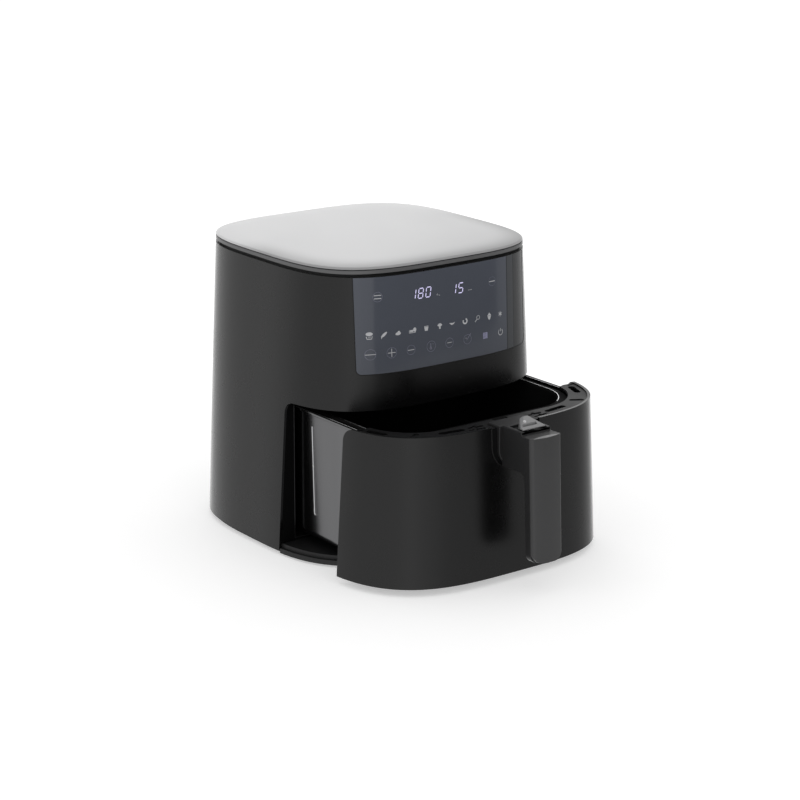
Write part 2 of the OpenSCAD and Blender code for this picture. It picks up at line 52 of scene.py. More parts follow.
def box_mm(node):
    low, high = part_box(node)
    return [c * 1000 for c in low], [c * 1000 for c in high]


# ---- the housing's outline ----

SHELL_LO, SHELL_HI = box_mm("housing_shell")
FRONT_LO, FRONT_HI = box_mm("drawer_front")
GLAND_LO, GLAND_HI = box_mm("cord_inlet_gland")
GLASS_FOOT = box_mm("control_glass")[0][2]
PAN_HALF = box_mm("outer_pan")[1][0]

# The outline narrows from the foot to the top, and its corners get squarer by POWER_GAIN
FOOT_Z, TOP_Z = SHELL_LO[2], box_mm("top_cover")[1][2]
FOOT_W, FOOT_D = SHELL_HI[0] * 2, 302.6
TOP_W, TOP_D = 280.0, 280.0
FOOT_POWER, POWER_GAIN = 3.26, 0.42
FORWARD = 3.2  # how far the foot's middle is in front of the top's
SHELL_TOP = SHELL_HI[2]
# The bay's opening and the drawer's front: side edge in front of the middle, top and corner radius
BAY_EDGE, BAY_TOP, BAY_R = 56.5, 165.5, 12.0
EDGE, FRONT_TOP, FRONT_R = 58.0, FRONT_HI[2], 13.0
FRONT_FOOT = FRONT_LO[2]
FRAME_TOP = FRONT_TOP - 1.5
OPEN = 101.0  # how far the drawer is pulled out at rest


def rise(z):
    """Height as a share of the way from the housing's foot to the lid."""
    return (z - FOOT_Z) / (TOP_Z - FOOT_Z)


def half_x(z):
    return (FOOT_W + (TOP_W - FOOT_W) * rise(z)) / 2


def half_y(z):
    return (FOOT_D + (TOP_D - FOOT_D) * rise(z)) / 2


def power(z):
    return FOOT_POWER + POWER_GAIN * rise(z)


def middle(z):
    return -FORWARD * (1 - rise(z))


def spot(phi, z, inset=0.0):
    """Point of the outline at polar angle phi and height z, moved inwards by inset."""
    hx, hy, p = half_x(z) - inset, half_y(z) - inset, power(z)
    c, s = cos(phi), sin(phi)
    r = (abs(c / hx) ** p + abs(s / hy) ** p) ** (-1 / p)
    return (r * c, r * s + middle(z), z)


def angle_at_y(z, y, side, inset=0.0):
    return atan2(y - middle(z), side * side_x(y, z, inset))


def angle_at_x(z, x):
    return atan2(front_y(x, z) - middle(z), x)


def front_y(x, z, inset=0.0):
    hx, hy, p = half_x(z) - inset, half_y(z) - inset, power(z)
    return middle(z) - hy * (1 - min(1.0, abs(x / hx)) ** p) ** (1 / p)


def side_x(y, z, inset=0.0):
    hx, hy, p = half_x(z) - inset, half_y(z) - inset, power(z)
    return hx * (1 - min(1.0, abs((y - middle(z)) / hy)) ** p) ** (1 / p)


def spaced(values, path, count):
    """count + 1 of the values along a path, evenly spaced by the path's length."""
    run = np.concatenate([[0], np.cumsum(np.linalg.norm(np.diff(path, axis=0), axis=1))])
    return np.interp(np.linspace(0, run[-1], count + 1), run, values)


def even_row(z, a0, a1, count, inset=0.0, dy=0.0):
    """count + 1 points along the outline from angle a0 to a1, evenly spaced by length."""
    dense = np.linspace(a0, a1, 400)
    angles = spaced(dense, np.array([spot(a, z, inset) for a in dense]), count)
    return [(x, y + dy, zz) for x, y, zz in (spot(a, z, inset) for a in angles)]


def full_ring(z, inset):
    return even_row(z, -pi / 2, 1.5 * pi, 240, inset)[:-1]


def round_rect(x0, x1, y0, y1, r, arc=14, side=10):
    """Rounded rectangle as points, anticlockwise from the lower right corner's start."""
    corners = [(x1 - r, y0 + r, -90), (x1 - r, y1 - r, 0), (x0 + r, y1 - r, 90), (x0 + r, y0 + r, 180)]
    out = []
    for i, (cx, cy, a) in enumerate(corners):
        for k in range(arc + 1):
            t = radians(a + 90 * k / arc)
            out.append((cx + r * cos(t), cy + r * sin(t)))
        nx, ny, na = corners[(i + 1) % 4]
        t = radians(na)
        end = (nx + r * cos(t), ny + r * sin(t))
        sx, sy = out[-1]
        for k in range(1, side):
            out.append((sx + (end[0] - sx) * k / side, sy + (end[1] - sy) * k / side))
    return out


def drawer_ring(half, front, rear, r, grow, z):
    """Rounded rectangle in the open drawer at height z, grown outwards."""
    w = half + grow
    return [(x, y - OPEN, z) for x, y in round_rect(-w, w, front - grow, rear + grow, r + grow)]


def pan_ring(grow, z):
    return drawer_ring(PAN_HALF - 1.2, -121, 115, 60, grow, z)


def basket_ring(grow, z):
    return drawer_ring(119.5, -105.5, 103.5, 50, grow, z)


def flange_ring(grow, z):
    return drawer_ring(123.8, -118.8, 113.3, 57.3, grow, z)


# ---- mesh helpers ----


def add_object(name, data):
    obj = bpy.data.objects.new(name, data)
    scene.collection.objects.link(obj)
    return obj


def from_bmesh(name, bm):
    mesh = bpy.data.meshes.new(name)
    bm.to_mesh(mesh)
    bm.free()
    return add_object(name, mesh)


def baked_mesh(obj):
    """A new mesh of the object with its modifiers or its curve's tube applied."""
    graph = bpy.context.evaluated_depsgraph_get()
    return bpy.data.meshes.new_from_object(obj.evaluated_get(graph), depsgraph=graph)


class Builder:
    """Collects points in millimetres and faces, and makes one mesh object of them."""

    def __init__(self):
        self.points = []
        self.faces = []

    def grid(self, rows, wrap=False, flip=False):
        base, n = len(self.points), len(rows[0])
        for row in rows:
            self.points.extend(row)
        for k in range(len(rows) - 1):
            for i in range(n if wrap else n - 1):
                a, b = base + k * n + i, base + k * n + (i + 1) % n
                quad = [a, b, b + n, a + n]
                self.faces.append(quad[::-1] if flip else quad)

    def cap(self, ring):
        base = len(self.points)
        self.points.extend(ring)
        self.faces.append(list(range(base, base + len(ring))))

    def fan(self, ring, centre, flip=False):
        base, n = len(self.points), len(ring)
        self.points.extend(ring)
        self.points.append(centre)
        for i in range(n):
            tri = [base + i, base + (i + 1) % n, base + n]
            self.faces.append(tri[::-1] if flip else tri)

    def make(self, name, fix_normals=False):
        mesh = bpy.data.meshes.new(name)
        mesh.from_pydata([tuple(c * MM for c in p) for p in self.points], [], self.faces)
        bm = bmesh.new()
        bm.from_mesh(mesh)
        bmesh.ops.remove_doubles(bm, verts=bm.verts, dist=2e-6)
        if fix_normals:
            bmesh.ops.recalc_face_normals(bm, faces=bm.faces)
        bm.to_mesh(mesh)
        bm.free()
        return add_object(name, mesh)


def settle(obj):
    """Applies the modifiers."""
    mesh = baked_mesh(obj)
    obj.modifiers.clear()
    obj.data = mesh
    return obj


def smooth(obj, angle=38):
    obj.data.polygons.foreach_set("use_smooth", [True] * len(obj.data.polygons))
    obj.data.set_sharp_from_angle(angle=radians(angle))
    mod = obj.modifiers.new("even_normals", "WEIGHTED_NORMAL")
    mod.keep_sharp = True
    mod.weight = 70
    return obj


def thicken(obj, wall, even=True):
    mod = obj.modifiers.new("wall", "SOLIDIFY")
    mod.thickness = wall * MM
    mod.offset = -1
    mod.use_even_offset = even
    return settle(obj)


def fillet(obj, radius, steps=3, angle=40):
    mod = obj.modifiers.new("fillet", "BEVEL")
    mod.width = radius * MM
    mod.segments = steps
    mod.limit_method = "ANGLE"
    mod.angle_limit = radians(angle)
    mod.use_clamp_overlap = True
    mod.miter_outer = "MITER_ARC"
    return settle(obj)


def boolean(obj, tool, operation="DIFFERENCE"):
    mod = obj.modifiers.new("cut", "BOOLEAN")
    mod.object = tool
    mod.operation = operation
    mod.solver = "EXACT"
    settle(obj)
    bpy.data.objects.remove(tool)
    return obj


def prism(name, outline, axis, lo, hi):
    """Extrudes a drawing along an axis. It is drawn in (y, z) for x, (x, z) for y and (x, y) for z."""
    place = {
        "x": lambda u, v, w: (w, u, v),
        "y": lambda u, v, w: (u, w, v),
        "z": lambda u, v, w: (u, v, w),
    }[axis]
    b = Builder()
    low = [place(u, v, lo) for u, v in outline]
    high = [place(u, v, hi) for u, v in outline]
    b.grid([low, high], wrap=True)
    b.cap(low)
    b.cap(high)
    return b.make(name, fix_normals=True)


def block(half, y0, y1, z0, z1):
    """Box that is centred on x, for cutting."""
    return prism("block", [(-half, y0), (half, y0), (half, y1), (-half, y1)], "z", z0, z1)


def tube_curve(name, points, radius, cyclic=False, sides=3):
    """Round wire along a path of points."""
    curve = bpy.data.curves.new(name, "CURVE")
    curve.dimensions = "3D"
    curve.bevel_depth = radius * MM
    curve.bevel_resolution = sides
    curve.use_fill_caps = True
    spline = curve.splines.new("POLY")
    spline.points.add(len(points) - 1)
    for p, q in zip(spline.points, points):
        p.co = (q[0] * MM, q[1] * MM, q[2] * MM, 1)
    spline.use_cyclic_u = cyclic
    path = add_object(name + "_path", curve)
    mesh = baked_mesh(path)
    bpy.data.objects.remove(path)
    obj = add_object(name, mesh)
    mesh.polygons.foreach_set("use_smooth", [True] * len(mesh.polygons))
    mesh.set_sharp_from_angle(angle=radians(50))
    return obj


def join(name, objects):
    bm = bmesh.new()
    for o in objects:
        bm.from_mesh(o.data)
    for o in objects:
        bpy.data.objects.remove(o)
    return from_bmesh(name, bm)


def dress(obj, mat, body, nodes=()):
    """Gives a piece its finish, its body and the CAD nodes that it stands for."""
    obj.data.materials.clear()
    obj.data.materials.append(mat)
    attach(obj, body)
    if nodes:
        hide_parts(*nodes)
    return obj


# ---- materials ----


def plug(tree, node, inputs):
    """Fills a node's inputs with values or with links, where a node stands for its first output."""
    for key, value in inputs.items():
        if isinstance(value, bpy.types.Node):
            value = value.outputs[0]
        if isinstance(value, bpy.types.NodeSocket):
            tree.links.new(value, node.inputs[key])
        else:
            node.inputs[key].default_value = value


def shader(tree, kind, inputs=None, **settings):
    """Adds a shader node with its settings and its inputs."""
    node = tree.nodes.new("ShaderNode" + kind)
    for key, value in settings.items():
        setattr(node, key, value)
    plug(tree, node, inputs or {})
    return node


def set_stops(ramp, stops):
    while len(ramp.elements) < len(stops):
        ramp.elements.new(0.5)
    for element, (position, color) in zip(ramp.elements, stops):
        element.position = position
        element.color = color


def material(
    name, color, rough=0.4, metal=0.0, specular=0.5, coat=0.0, coat_rough=0.08, grain=0.0,
    grain_scale=2500.0, vary=0.08, vary_scale=14.0, rough_vary=0.05, stretch=None, alpha=1.0,
    glow=None, glow_strength=0.0, sheen=0.0,
):
    """A finish with slow colour and gloss variation and a fine surface grain, all in object space."""
    mat = bpy.data.materials.new(name)
    mat.use_nodes = True
    tree = mat.node_tree
    bsdf = tree.nodes["Principled BSDF"]
    plug(tree, bsdf, {
        "Metallic": metal, "Specular IOR Level": specular, "IOR": 1.5, "Coat Weight": coat,
        "Coat Roughness": coat_rough, "Alpha": alpha, "Sheen Weight": sheen, "Sheen Roughness": 0.2,
    })
    source = shader(tree, "TexCoord").outputs["Object"]
    if stretch:
        source = shader(tree, "Mapping", {"Vector": source, "Scale": stretch})
    slow = shader(tree, "TexNoise", {"Vector": source, "Scale": vary_scale, "Detail": 5, "Roughness": 0.6})
    noise = {"Value": slow, "From Min": 0.3, "From Max": 0.7}
    tone = shader(tree, "MapRange", {**noise, "To Min": 1 - vary, "To Max": 1 + vary})
    paint = shader(tree, "VectorMath", {0: color, "Scale": tone}, operation="SCALE")
    shine = shader(tree, "MapRange", {
        **noise, "To Min": max(0.02, rough - rough_vary), "To Max": rough + rough_vary,
    })
    plug(tree, bsdf, {"Base Color": paint, "Roughness": shine})
    if grain > 0:
        fine = shader(tree, "TexNoise", {"Vector": source, "Scale": grain_scale, "Detail": 3})
        bump = shader(tree, "Bump", {"Strength": grain, "Distance": 0.0002, "Height": fine})
        plug(tree, bsdf, {"Normal": bump})
    if glow:
        plug(tree, bsdf, {"Emission Color": (*glow, 1), "Emission Strength": glow_strength})
    if alpha < 1:
        mat.surface_render_method = "BLENDED"
    return mat


SATIN_BLACK = material(
    "satin_black", (0.0020, 0.0020, 0.0021), rough=0.27, grain=0.10, grain_scale=3200, vary=0.06,
    rough_vary=0.02, sheen=0.22,
)
COVER_GREY = material(
    "cover_grey", (0.57, 0.57, 0.575), rough=0.36, grain=0.06, grain_scale=3600, vary=0.015,
    rough_vary=0.03,
)
RING_GREY = material("ring_grey", (0.10, 0.10, 0.102), rough=0.38, grain=0.08, vary=0.03)
GAP_BLACK = material("gap_black", (0.003, 0.003, 0.003), rough=0.7, grain=0.2, vary=0.1)
TRIM_BLACK = material(
    "trim_black", (0.0012, 0.0012, 0.0013), rough=0.72, specular=0.10, grain=0.15, vary=0.08,
)
FRAME_BLACK = material(
    "frame_black", (0.003, 0.003, 0.0032), rough=0.50, specular=0.30, grain=0.30, grain_scale=1800,
    vary=0.10,
)
BASE_BLACK = material(
    "base_black", (0.006, 0.006, 0.0065), rough=0.5, grain=0.35, grain_scale=1600, vary=0.10,
)
HANDLE_BLACK = material(
    "handle_black", (0.015, 0.015, 0.0155), rough=0.44, specular=0.38, grain=0.12, grain_scale=2800,
    vary=0.05,
)
GRIP_BLACK = material(
    "grip_black", (0.040, 0.040, 0.041), rough=0.52, grain=0.22, grain_scale=2400, vary=0.05,
)
NUB_GREY = material("nub_grey", (0.62, 0.62, 0.63), rough=0.35, vary=0.03)
# Painted highlight for the grip's lit top, lighter than the grip itself
GRIP_TOP_HIGHLIGHT = material(
    "grip_top_highlight", (0.23, 0.23, 0.232), rough=0.45, grain=0.15, grain_scale=2400, vary=0.05,
)
PAN_STEEL = material(
    "pan_steel", (0.20, 0.20, 0.205), rough=0.19, metal=1.0, grain=0.05, grain_scale=900, vary=0.05,
    vary_scale=60, stretch=(1, 1, 0.05), rough_vary=0.04,
)
BASKET_BLACK = material(
    "basket_black", (0.0080, 0.0080, 0.0080), rough=0.75, specular=0.03, grain=0.25,
    grain_scale=1500, vary=0.12,
)
RIM_STEEL = material(
    "rim_steel", (0.60, 0.60, 0.61), rough=0.24, metal=1.0, vary=0.04, vary_scale=80,
)
SHEET_STEEL = material(
    "sheet_steel", (0.36, 0.36, 0.37), rough=0.34, metal=1.0, grain=0.10, grain_scale=700,
    vary=0.07, vary_scale=40, stretch=(0.1, 1, 1),
)
LINER_STEEL = material(
    "liner_steel", (0.13, 0.13, 0.132), rough=0.42, metal=1.0, grain=0.12, grain_scale=700,
    vary=0.10, vary_scale=30, stretch=(1, 0.15, 1),
)
ZINC = material(
    "zinc", (0.50, 0.50, 0.48), rough=0.33, metal=1.0, grain=0.12, grain_scale=900, vary=0.10,
    vary_scale=90,
)
BOLT_STEEL = material(
    "bolt_steel", (0.56, 0.56, 0.57), rough=0.27, metal=1.0, grain=0.05, vary=0.06, vary_scale=200,
)
ELEMENT = material(
    "element_sheath", (0.075, 0.068, 0.062), rough=0.46, metal=0.9, grain=0.35, grain_scale=800,
    vary=0.25, vary_scale=60,
)
FAN_ALU = material(
    "fan_aluminium", (0.55, 0.55, 0.56), rough=0.30, metal=1.0, grain=0.10, grain_scale=900,
    vary=0.06, vary_scale=60,
)
CORE_STEEL = material(
    "core_steel", (0.20, 0.20, 0.205), rough=0.45, metal=0.9, grain=0.6, grain_scale=900, vary=0.08,
    stretch=(0.05, 0.05, 1.6),
)
BRONZE = material(
    "bronze", (0.50, 0.31, 0.12), rough=0.38, metal=1.0, grain=0.2, grain_scale=2000, vary=0.12,
    vary_scale=150,
)
COPPER = material(
    "copper_coil", (0.42, 0.13, 0.05), rough=0.28, metal=0.9, grain=0.8, grain_scale=700, vary=0.10,
    stretch=(1.4, 0.05, 0.05),
)
BOARD_GREEN = material(
    "board_green", (0.012, 0.085, 0.035), rough=0.30, grain=0.30, grain_scale=420, vary=0.25,
    vary_scale=120,
)
LIGHT_GUIDE = material("light_guide", (0.60, 0.60, 0.64), rough=0.45, grain=0.05, vary=0.03)
DUCT_BLACK = material(
    "duct_black", (0.018, 0.018, 0.018), rough=0.55, grain=0.25, grain_scale=1500, vary=0.10,
)
FOOT_RUBBER = material(
    "foot_rubber", (0.016, 0.016, 0.016), rough=0.78, grain=0.5, grain_scale=1500, vary=0.15,
    vary_scale=60,
)
CERAMIC = material(
    "ceramic", (0.52, 0.48, 0.40), rough=0.55, grain=0.15, grain_scale=1500, vary=0.06,
)
SWITCH_BLUE = material("switch_blue", (0.010, 0.022, 0.070), rough=0.42, grain=0.10, vary=0.06)
PLUNGER_RED = material("plunger_red", (0.33, 0.016, 0.010), grain=0.08, vary=0.05)
BUTTON_GREY = material("button_grey", (0.38, 0.38, 0.39), grain=0.10, vary=0.04)
COVER_CLEAR = material(
    "cover_clear", (0.27, 0.27, 0.273), rough=0.32, alpha=0.95, coat=0.2, coat_rough=0.10,
    grain=0.03, vary=0.05,
)


def panel_material():
    """Tinted panel: a blue-grey lit field, a clear line at its right and a plain grey strip beyond it."""
    mat = material(
        "panel_glass", (0.064, 0.070, 0.086), rough=0.16, specular=0.30, coat=0.15, coat_rough=0.06,
        vary=0.04, vary_scale=9, rough_vary=0.02,
    )
    half = 109.6
    tree = mat.node_tree
    axes = shader(tree, "SeparateXYZ", {"Vector": shader(tree, "TexCoord").outputs["Object"]})
    span = shader(tree, "MapRange", {
        "Value": axes.outputs["X"], "From Min": -half * MM, "From Max": half * MM,
    })
    ramp = shader(tree, "ValToRGB", {"Fac": span})
    field, line, strip = (0.070, 0.0765, 0.094, 1), (0.012, 0.013, 0.015, 1), (0.050, 0.053, 0.058, 1)
    soft, beyond = (0.016, 0.017, 0.018, 1), (0.036, 0.037, 0.039, 1)
    set_stops(ramp.color_ramp, [((x + half) / (2 * half), color) for x, color in [
        (-half, field), (76.2, field), (76.8, line), (77.5, line), (78.1, strip),
        (87.2, strip), (88.0, soft), (88.8, beyond), (half, beyond),
    ]])
    tone = next(n for n in tree.nodes if n.type == "VECT_MATH")
    plug(tree, tone, {0: ramp})
    return mat


PANEL_GLASS = panel_material()
DIGIT_LIGHT = material(
    "digit_light", (0.5, 0.48, 0.6), vary=0.02, glow=(0.50, 0.46, 0.80), glow_strength=0.66,
)
KEY_LIGHT = material(
    "key_light", (0.20, 0.20, 0.26), vary=0.02, glow=(0.34, 0.33, 0.56), glow_strength=0.40,
)
ICON_LIGHT = material(
    "icon_light", (0.30, 0.30, 0.31), vary=0.05, glow=(0.50, 0.51, 0.53), glow_strength=0.24,
)
ICON_DIM = material(
    "icon_dim", (0.12, 0.12, 0.15), vary=0.05, glow=(0.28, 0.27, 0.40), glow_strength=0.20,
)


def painted_edge_shade(mat, low, z0, z1, y0, y1):
    """Paints shade into a finish towards the low front edge of a crowned top, in object space."""
    tree = mat.node_tree
    base = tree.nodes["Principled BSDF"].inputs["Base Color"]
    paint = base.links[0].from_socket
    axes = shader(tree, "SeparateXYZ", {"Vector": shader(tree, "TexCoord").outputs["Object"]})
    masks = [
        shader(tree, "MapRange", {
            "Value": axes.outputs[axis], "From Min": start * MM, "From Max": end * MM,
            "To Min": 1.0, "To Max": 0.0,
        }, interpolation_type="SMOOTHSTEP")
        for axis, start, end in (("Z", z0, z1), ("Y", y0, y1))
    ]
    both = shader(tree, "Math", {0: masks[0], 1: masks[1]}, operation="MULTIPLY")
    tone = shader(tree, "MapRange", {"Value": both, "To Min": 1.0, "To Max": low})
    shade = shader(tree, "VectorMath", {0: paint, "Scale": tone}, operation="SCALE")
    tree.links.new(shade.outputs["Vector"], base)


# Painted shade: the lid's grey is darkened towards its low front edge, where the rolled edge turns from the
# light
painted_edge_shade(COVER_GREY, 0.55, 312.3, 314.3, -20.0, 60.0)

# ---- top cover, trim ring, gap ----

# Profiles are (inset from the outline, z)
cover_profile = [
    (9.0, 309.4), (1.3, 309.4), (1.25, 310.15), (0.4, 310.2), (0.06, 310.4), (0.0, 310.7),
    (0.06, 311.1), (0.35, 311.65), (0.9, 312.1), (1.7, 312.42),
]
crown = [2.6, 3.8, 5.4, 7.5, 10.0, 13.0, 17.0, 22.0, 30.0, 42.0, 60.0, 80.0, 105.0, 125.0, 136.0]
rings = [full_ring(z, inset) for inset, z in cover_profile]
edge_inset, edge_z = cover_profile[-1]
for inset in crown:
    lift = edge_z + 2.5 * (1 - (1 - (inset - edge_inset) / 135) ** 5)
    rings.append([(x, y, lift) for x, y, _ in full_ring(312.4, inset)])
b = Builder()
b.grid(rings, wrap=True)
b.fan(rings[-1], (0, 0, 314.72))
cover = b.make("cover_shell")
dress(smooth(cover, 60), COVER_GREY, "housing", ["top_cover"])

ring_profile = [
    (8.0, 305.5), (0.7, 305.5), (0.2, 305.65), (0.0, 306.1), (0.0, 308.8), (0.15, 309.2), (0.5, 309.38),
    (8.0, 309.38), (8.0, 305.5),
]
b = Builder()
b.grid([full_ring(z, inset) for inset, z in ring_profile], wrap=True)
ring = b.make("trim_band")
dress(smooth(ring, 60), RING_GREY, "housing", ["top_trim_ring"])

# Painted shade: a black bead in the gap between the cover and the trim band, where shade falls
dress(tube_curve("cover_gap_shade", full_ring(309.8, 0.95), 0.42, cyclic=True), GAP_BLACK, "housing")

# ---- housing ----

def corner_cut(z, edge, top, r):
    """y at height z of an upright edge that turns forwards, through a round corner, under top."""
    if z <= top - r:
        return -edge
    return -edge - r + sqrt(max(0.0, r**2 - (z - top + r) ** 2))


def circle_points(cx, cy, r, count):
    return [(cx + r * cos(t), cy + r * sin(t)) for t in np.linspace(0, 2 * pi, count, endpoint=False)]


def housing_sheet():
    back, front_count = 220, 84
    b = Builder()
    lower = list(np.linspace(FOOT_Z, BAY_TOP - BAY_R, 26))
    lower += [BAY_TOP - BAY_R + BAY_R * sin(radians(a)) for a in range(9, 91, 9)]
    upper = [BAY_TOP] + list(np.linspace(BAY_TOP, SHELL_TOP, 26))[1:]
    rows = []
    for z in lower:
        a = angle_at_y(z, corner_cut(z, BAY_EDGE, BAY_TOP, BAY_R), 1)
        rows.append(even_row(z, a, pi - a, back))
    b.grid(rows)
    rows, front = [], []
    for z in upper:
        a = angle_at_y(z, corner_cut(BAY_TOP, BAY_EDGE, BAY_TOP, BAY_R), 1)
        rows.append(even_row(z, a, pi - a, back))
        front.append(even_row(z, pi - a, 2 * pi + a, front_count))
    b.grid(rows)
    b.grid(front)
    return b.make("housing_body")


housing = thicken(housing_sheet(), 3.0)
boolean(housing, block(58, 100, 180, 196, 284))  # the rear grille's opening
gx, gz = (GLAND_LO[0] + GLAND_HI[0]) / 2, (GLAND_LO[2] + GLAND_HI[2]) / 2
boolean(housing, prism("hole", circle_points(gx, gz, 9, 48), "y", 120, 170))
fillet(housing, 0.7, 3, 50)
dress(smooth(housing), SATIN_BLACK, "housing", ["housing_shell"])

# ---- touch panel ----


def front_sheet(name, half, foot, r, top, step, levels, columns, inset, shift):
    """Sheet along the housing's front wall, with round lower corners."""
    zs = [foot + r - r * cos(radians(a)) for a in range(0, 91, step)]
    zs += list(np.linspace(foot + r, top, levels))[1:]
    rows = []
    for z in zs:
        edge = half
        if z < foot + r:
            edge = half - r + sqrt(max(0.0, r**2 - (foot + r - z) ** 2))
        rows.append([(x, front_y(x, z, inset) + shift, z) for x in np.linspace(-edge, edge, columns)])
    b = Builder()
    b.grid(rows)
    return b.make(name)


glass = front_sheet("touch_panel", 109.5, GLASS_FOOT, 5.0, SHELL_TOP - 0.1, 10, 22, 81, 0.0, -0.28)
panel = fillet(thicken(glass, 1.3), 0.35, 3, 50)
dress(smooth(panel), PANEL_GLASS, "housing", ["control_glass"])

# ---- lit digits and symbols on the panel ----


def on_panel(x, z, lift=0.40):
    return (x, front_y(x, z) - lift, z)


class Marks:
    """Flat marks just above the panel, drawn in (x, z)."""

    def __init__(self):
        self.b = Builder()

    def patch(self, points):
        base = len(self.b.points)
        self.b.points.extend(on_panel(x, z) for x, z in points)
        self.b.faces.append(list(range(base, base + len(points))))

    def line(self, points, width, closed=False):
        """A stroke of even width, in short steps so that it follows the panel's curve."""
        pts = [Vector(points[0])]
        for p, q in zip(points, points[1:] + ([points[0]] if closed else [])):
            p, q = Vector(p), Vector(q)
            steps = max(1, int((q - p).length / 1.5))
            pts += [p.lerp(q, (k + 1) / steps) for k in range(steps)]
        if closed:
            pts.pop()
        n = len(pts)
        left, right = [], []
        for i, p in enumerate(pts):
            d = Vector((0, 0))
            if i > 0 or closed:
                d += (p - pts[i - 1]).normalized()
            if i < n - 1 or closed:
                d += (pts[(i + 1) % n] - p).normalized()
            d.normalize()
            side = Vector((-d.y, d.x)) * width / 2
            left.append(p + side)
            right.append(p - side)
        for i in range(n if closed else n - 1):
            j = (i + 1) % n
            self.patch([right[i], right[j], left[j], left[i]])

    def circle(self, x, z, r, width, start=0, stop=360):
        closed = stop - start == 360
        count = 28
        angles = [radians(start + (stop - start) * k / count) for k in range(count + (not closed))]
        self.line([(x + r * cos(t), z + r * sin(t)) for t in angles], width, closed)

    def disc(self, x, z, rx, rz, turn=0.0):
        c, s = cos(radians(turn)), sin(radians(turn))
        pts = []
        for k in range(20):
            u, v = rx * cos(k * pi / 10), rz * sin(k * pi / 10)
            pts.append((x + u * c - v * s, z + u * s + v * c))
        self.patch(pts)

    def make(self, name, mat):
        dress(self.b.make(name), mat, "housing")


SEGMENTS = {
    "a": [(0, 1), (1, 1)], "b": [(1, 1), (1, 0.5)], "c": [(1, 0.5), (1, 0)], "d": [(0, 0), (1, 0)],
    "e": [(0, 0.5), (0, 0)], "f": [(0, 1), (0, 0.5)], "g": [(0, 0.5), (1, 0.5)],
}
DIGITS = {"0": "abcdef", "1": "bc", "5": "afgcd", "8": "abcdefg"}


def digit(marks, which, x, z, w=5.6, h=10.0, slant=0.16):
    """A seven-segment digit, with (x, z) at its lower left."""
    for name in DIGITS[which]:
        (u0, v0), (u1, v1) = SEGMENTS[name]
        u0, v0, u1, v1 = u0 * w, v0 * h, u1 * w, v1 * h
        length = hypot(u1 - u0, v1 - v0)
        du, dv = (u1 - u0) / length, (v1 - v0) / length
        gap, t = 0.4, 0.5
        end = length - gap
        shape = [(gap, 0), (gap + t, t), (end - t, t), (end, 0), (end - t, -t), (gap + t, -t)]
        pts = [(u0 + du * a - dv * c, v0 + dv * a + du * c) for a, c in shape]
        pts = [(x + u + v * slant, z + v) for u, v in pts]
        area = sum(p[0] * q[1] - q[0] * p[1] for p, q in zip(pts, pts[1:] + pts[:1]))
        marks.patch(pts if area > 0 else pts[::-1])


# The dark line round the panel: down the left, round the corner, along the foot, and the same on the right
left = [(-109.6, z) for z in np.linspace(302.0, 208.2, 24)]
left += [(-104.4 - 5.2 * cos(t), 208.2 - 5.2 * sin(t)) for t in np.linspace(0.15, pi / 2, 8)]
left.pop()
border = left + [(x, 203.0) for x in np.linspace(-104.4, 104.4, 60)] + [(-x, z) for x, z in left[::-1]]
gap_line = tube_curve("panel_gap", [on_panel(x, z, 0.12) for x, z in border], 0.42)
dress(gap_line, GAP_BLACK, "housing")

digits = Marks()
for which, x, z in [
    ("1", -51.2, 275.2), ("8", -42.0, 275.2), ("0", -32.6, 275.2), ("1", 0.0, 273.6), ("5", 9.2, 273.6),
]:
    digit(digits, which, x, z)
digits.make("display_digits", DIGIT_LIGHT)

small = Marks()
small.circle(-17.6, 276.0, 0.7, 0.3)
small.line([(-15.8, 275.0), (-14.2, 275.0)], 0.5)
for x in (22.6, 24.3, 26.0):
    small.line([(x, 274.8), (x + 1.0, 274.8)], 0.6)

lit = Marks()
lit.line([(-91.2, 283.6), (-83.8, 283.6)], 0.8)
lit.line([(-91.2, 280.4), (-83.8, 280.4)], 0.8)
lit.line([(51.0, 279.2), (59.0, 279.2)], 0.8)

faint = Marks()
faint.circle(-87.5, 282.0, 4.9, 0.24)
faint.circle(55.0, 279.2, 4.7, 0.18)

PROGRAM_X = [-96.8, -82.0, -66.5, -49.3, -32.5, -15.3, 0.8, 17.6, 33.8, 50.3, 66.2]
PROGRAM_Z, KEY_Z = 243.0, 223.6


def fries(x, z):
    lit.disc(x, z + 1.8, 3.4, 1.9)
    lit.line([(x - 2.8, z - 0.6), (x - 2.2, z - 3.4), (x + 2.2, z - 3.4), (x + 2.8, z - 0.6)], 0.7)
    for k in (-1.0, 0.0, 1.0):
        lit.line([(x + k, z - 0.4), (x + k * 0.9, z - 2.4)], 0.35)


def stick(x, z):
    lit.disc(x, z, 4.0, 1.35, 40)
    lit.line([(x - 2.8, z - 1.4), (x - 2.6, z - 4.0)], 0.6)


def loaf(x, z):
    lit.disc(x, z - 0.6, 3.1, 1.6, 5)
    lit.disc(x + 0.8, z + 1.0, 1.4, 1.2)


def dish(x, z):
    lit.line([(x - 4.2, z + 0.9), (x - 4.2, z - 1.9), (x + 3.2, z - 1.9), (x + 3.6, z + 0.4)], 0.6)
    lit.patch([(x - 3.4, z - 1.2), (x + 0.6, z - 1.2), (x + 0.6, z + 1.0), (x - 3.4, z + 1.0)])
    lit.disc(x + 2.4, z + 1.0, 1.9, 2.2)


def cup(x, z):
    lit.patch([(x - 1.8, z - 2.4), (x + 1.8, z - 2.4), (x + 2.6, z + 1.6), (x - 2.6, z + 1.6)])
    lit.line([(x - 2.6, z + 2.3), (x + 2.6, z + 2.3)], 0.6)


def muffin(x, z):
    lit.patch([(x - 3.2, z + 0.6), (x, z - 1.0), (x + 3.2, z + 0.6), (x + 1.4, z + 2.6), (x - 1.4, z + 2.6)])
    lit.patch([(x - 0.9, z - 3.0), (x + 0.9, z - 3.0), (x + 1.1, z - 0.8), (x - 1.1, z - 0.8)])


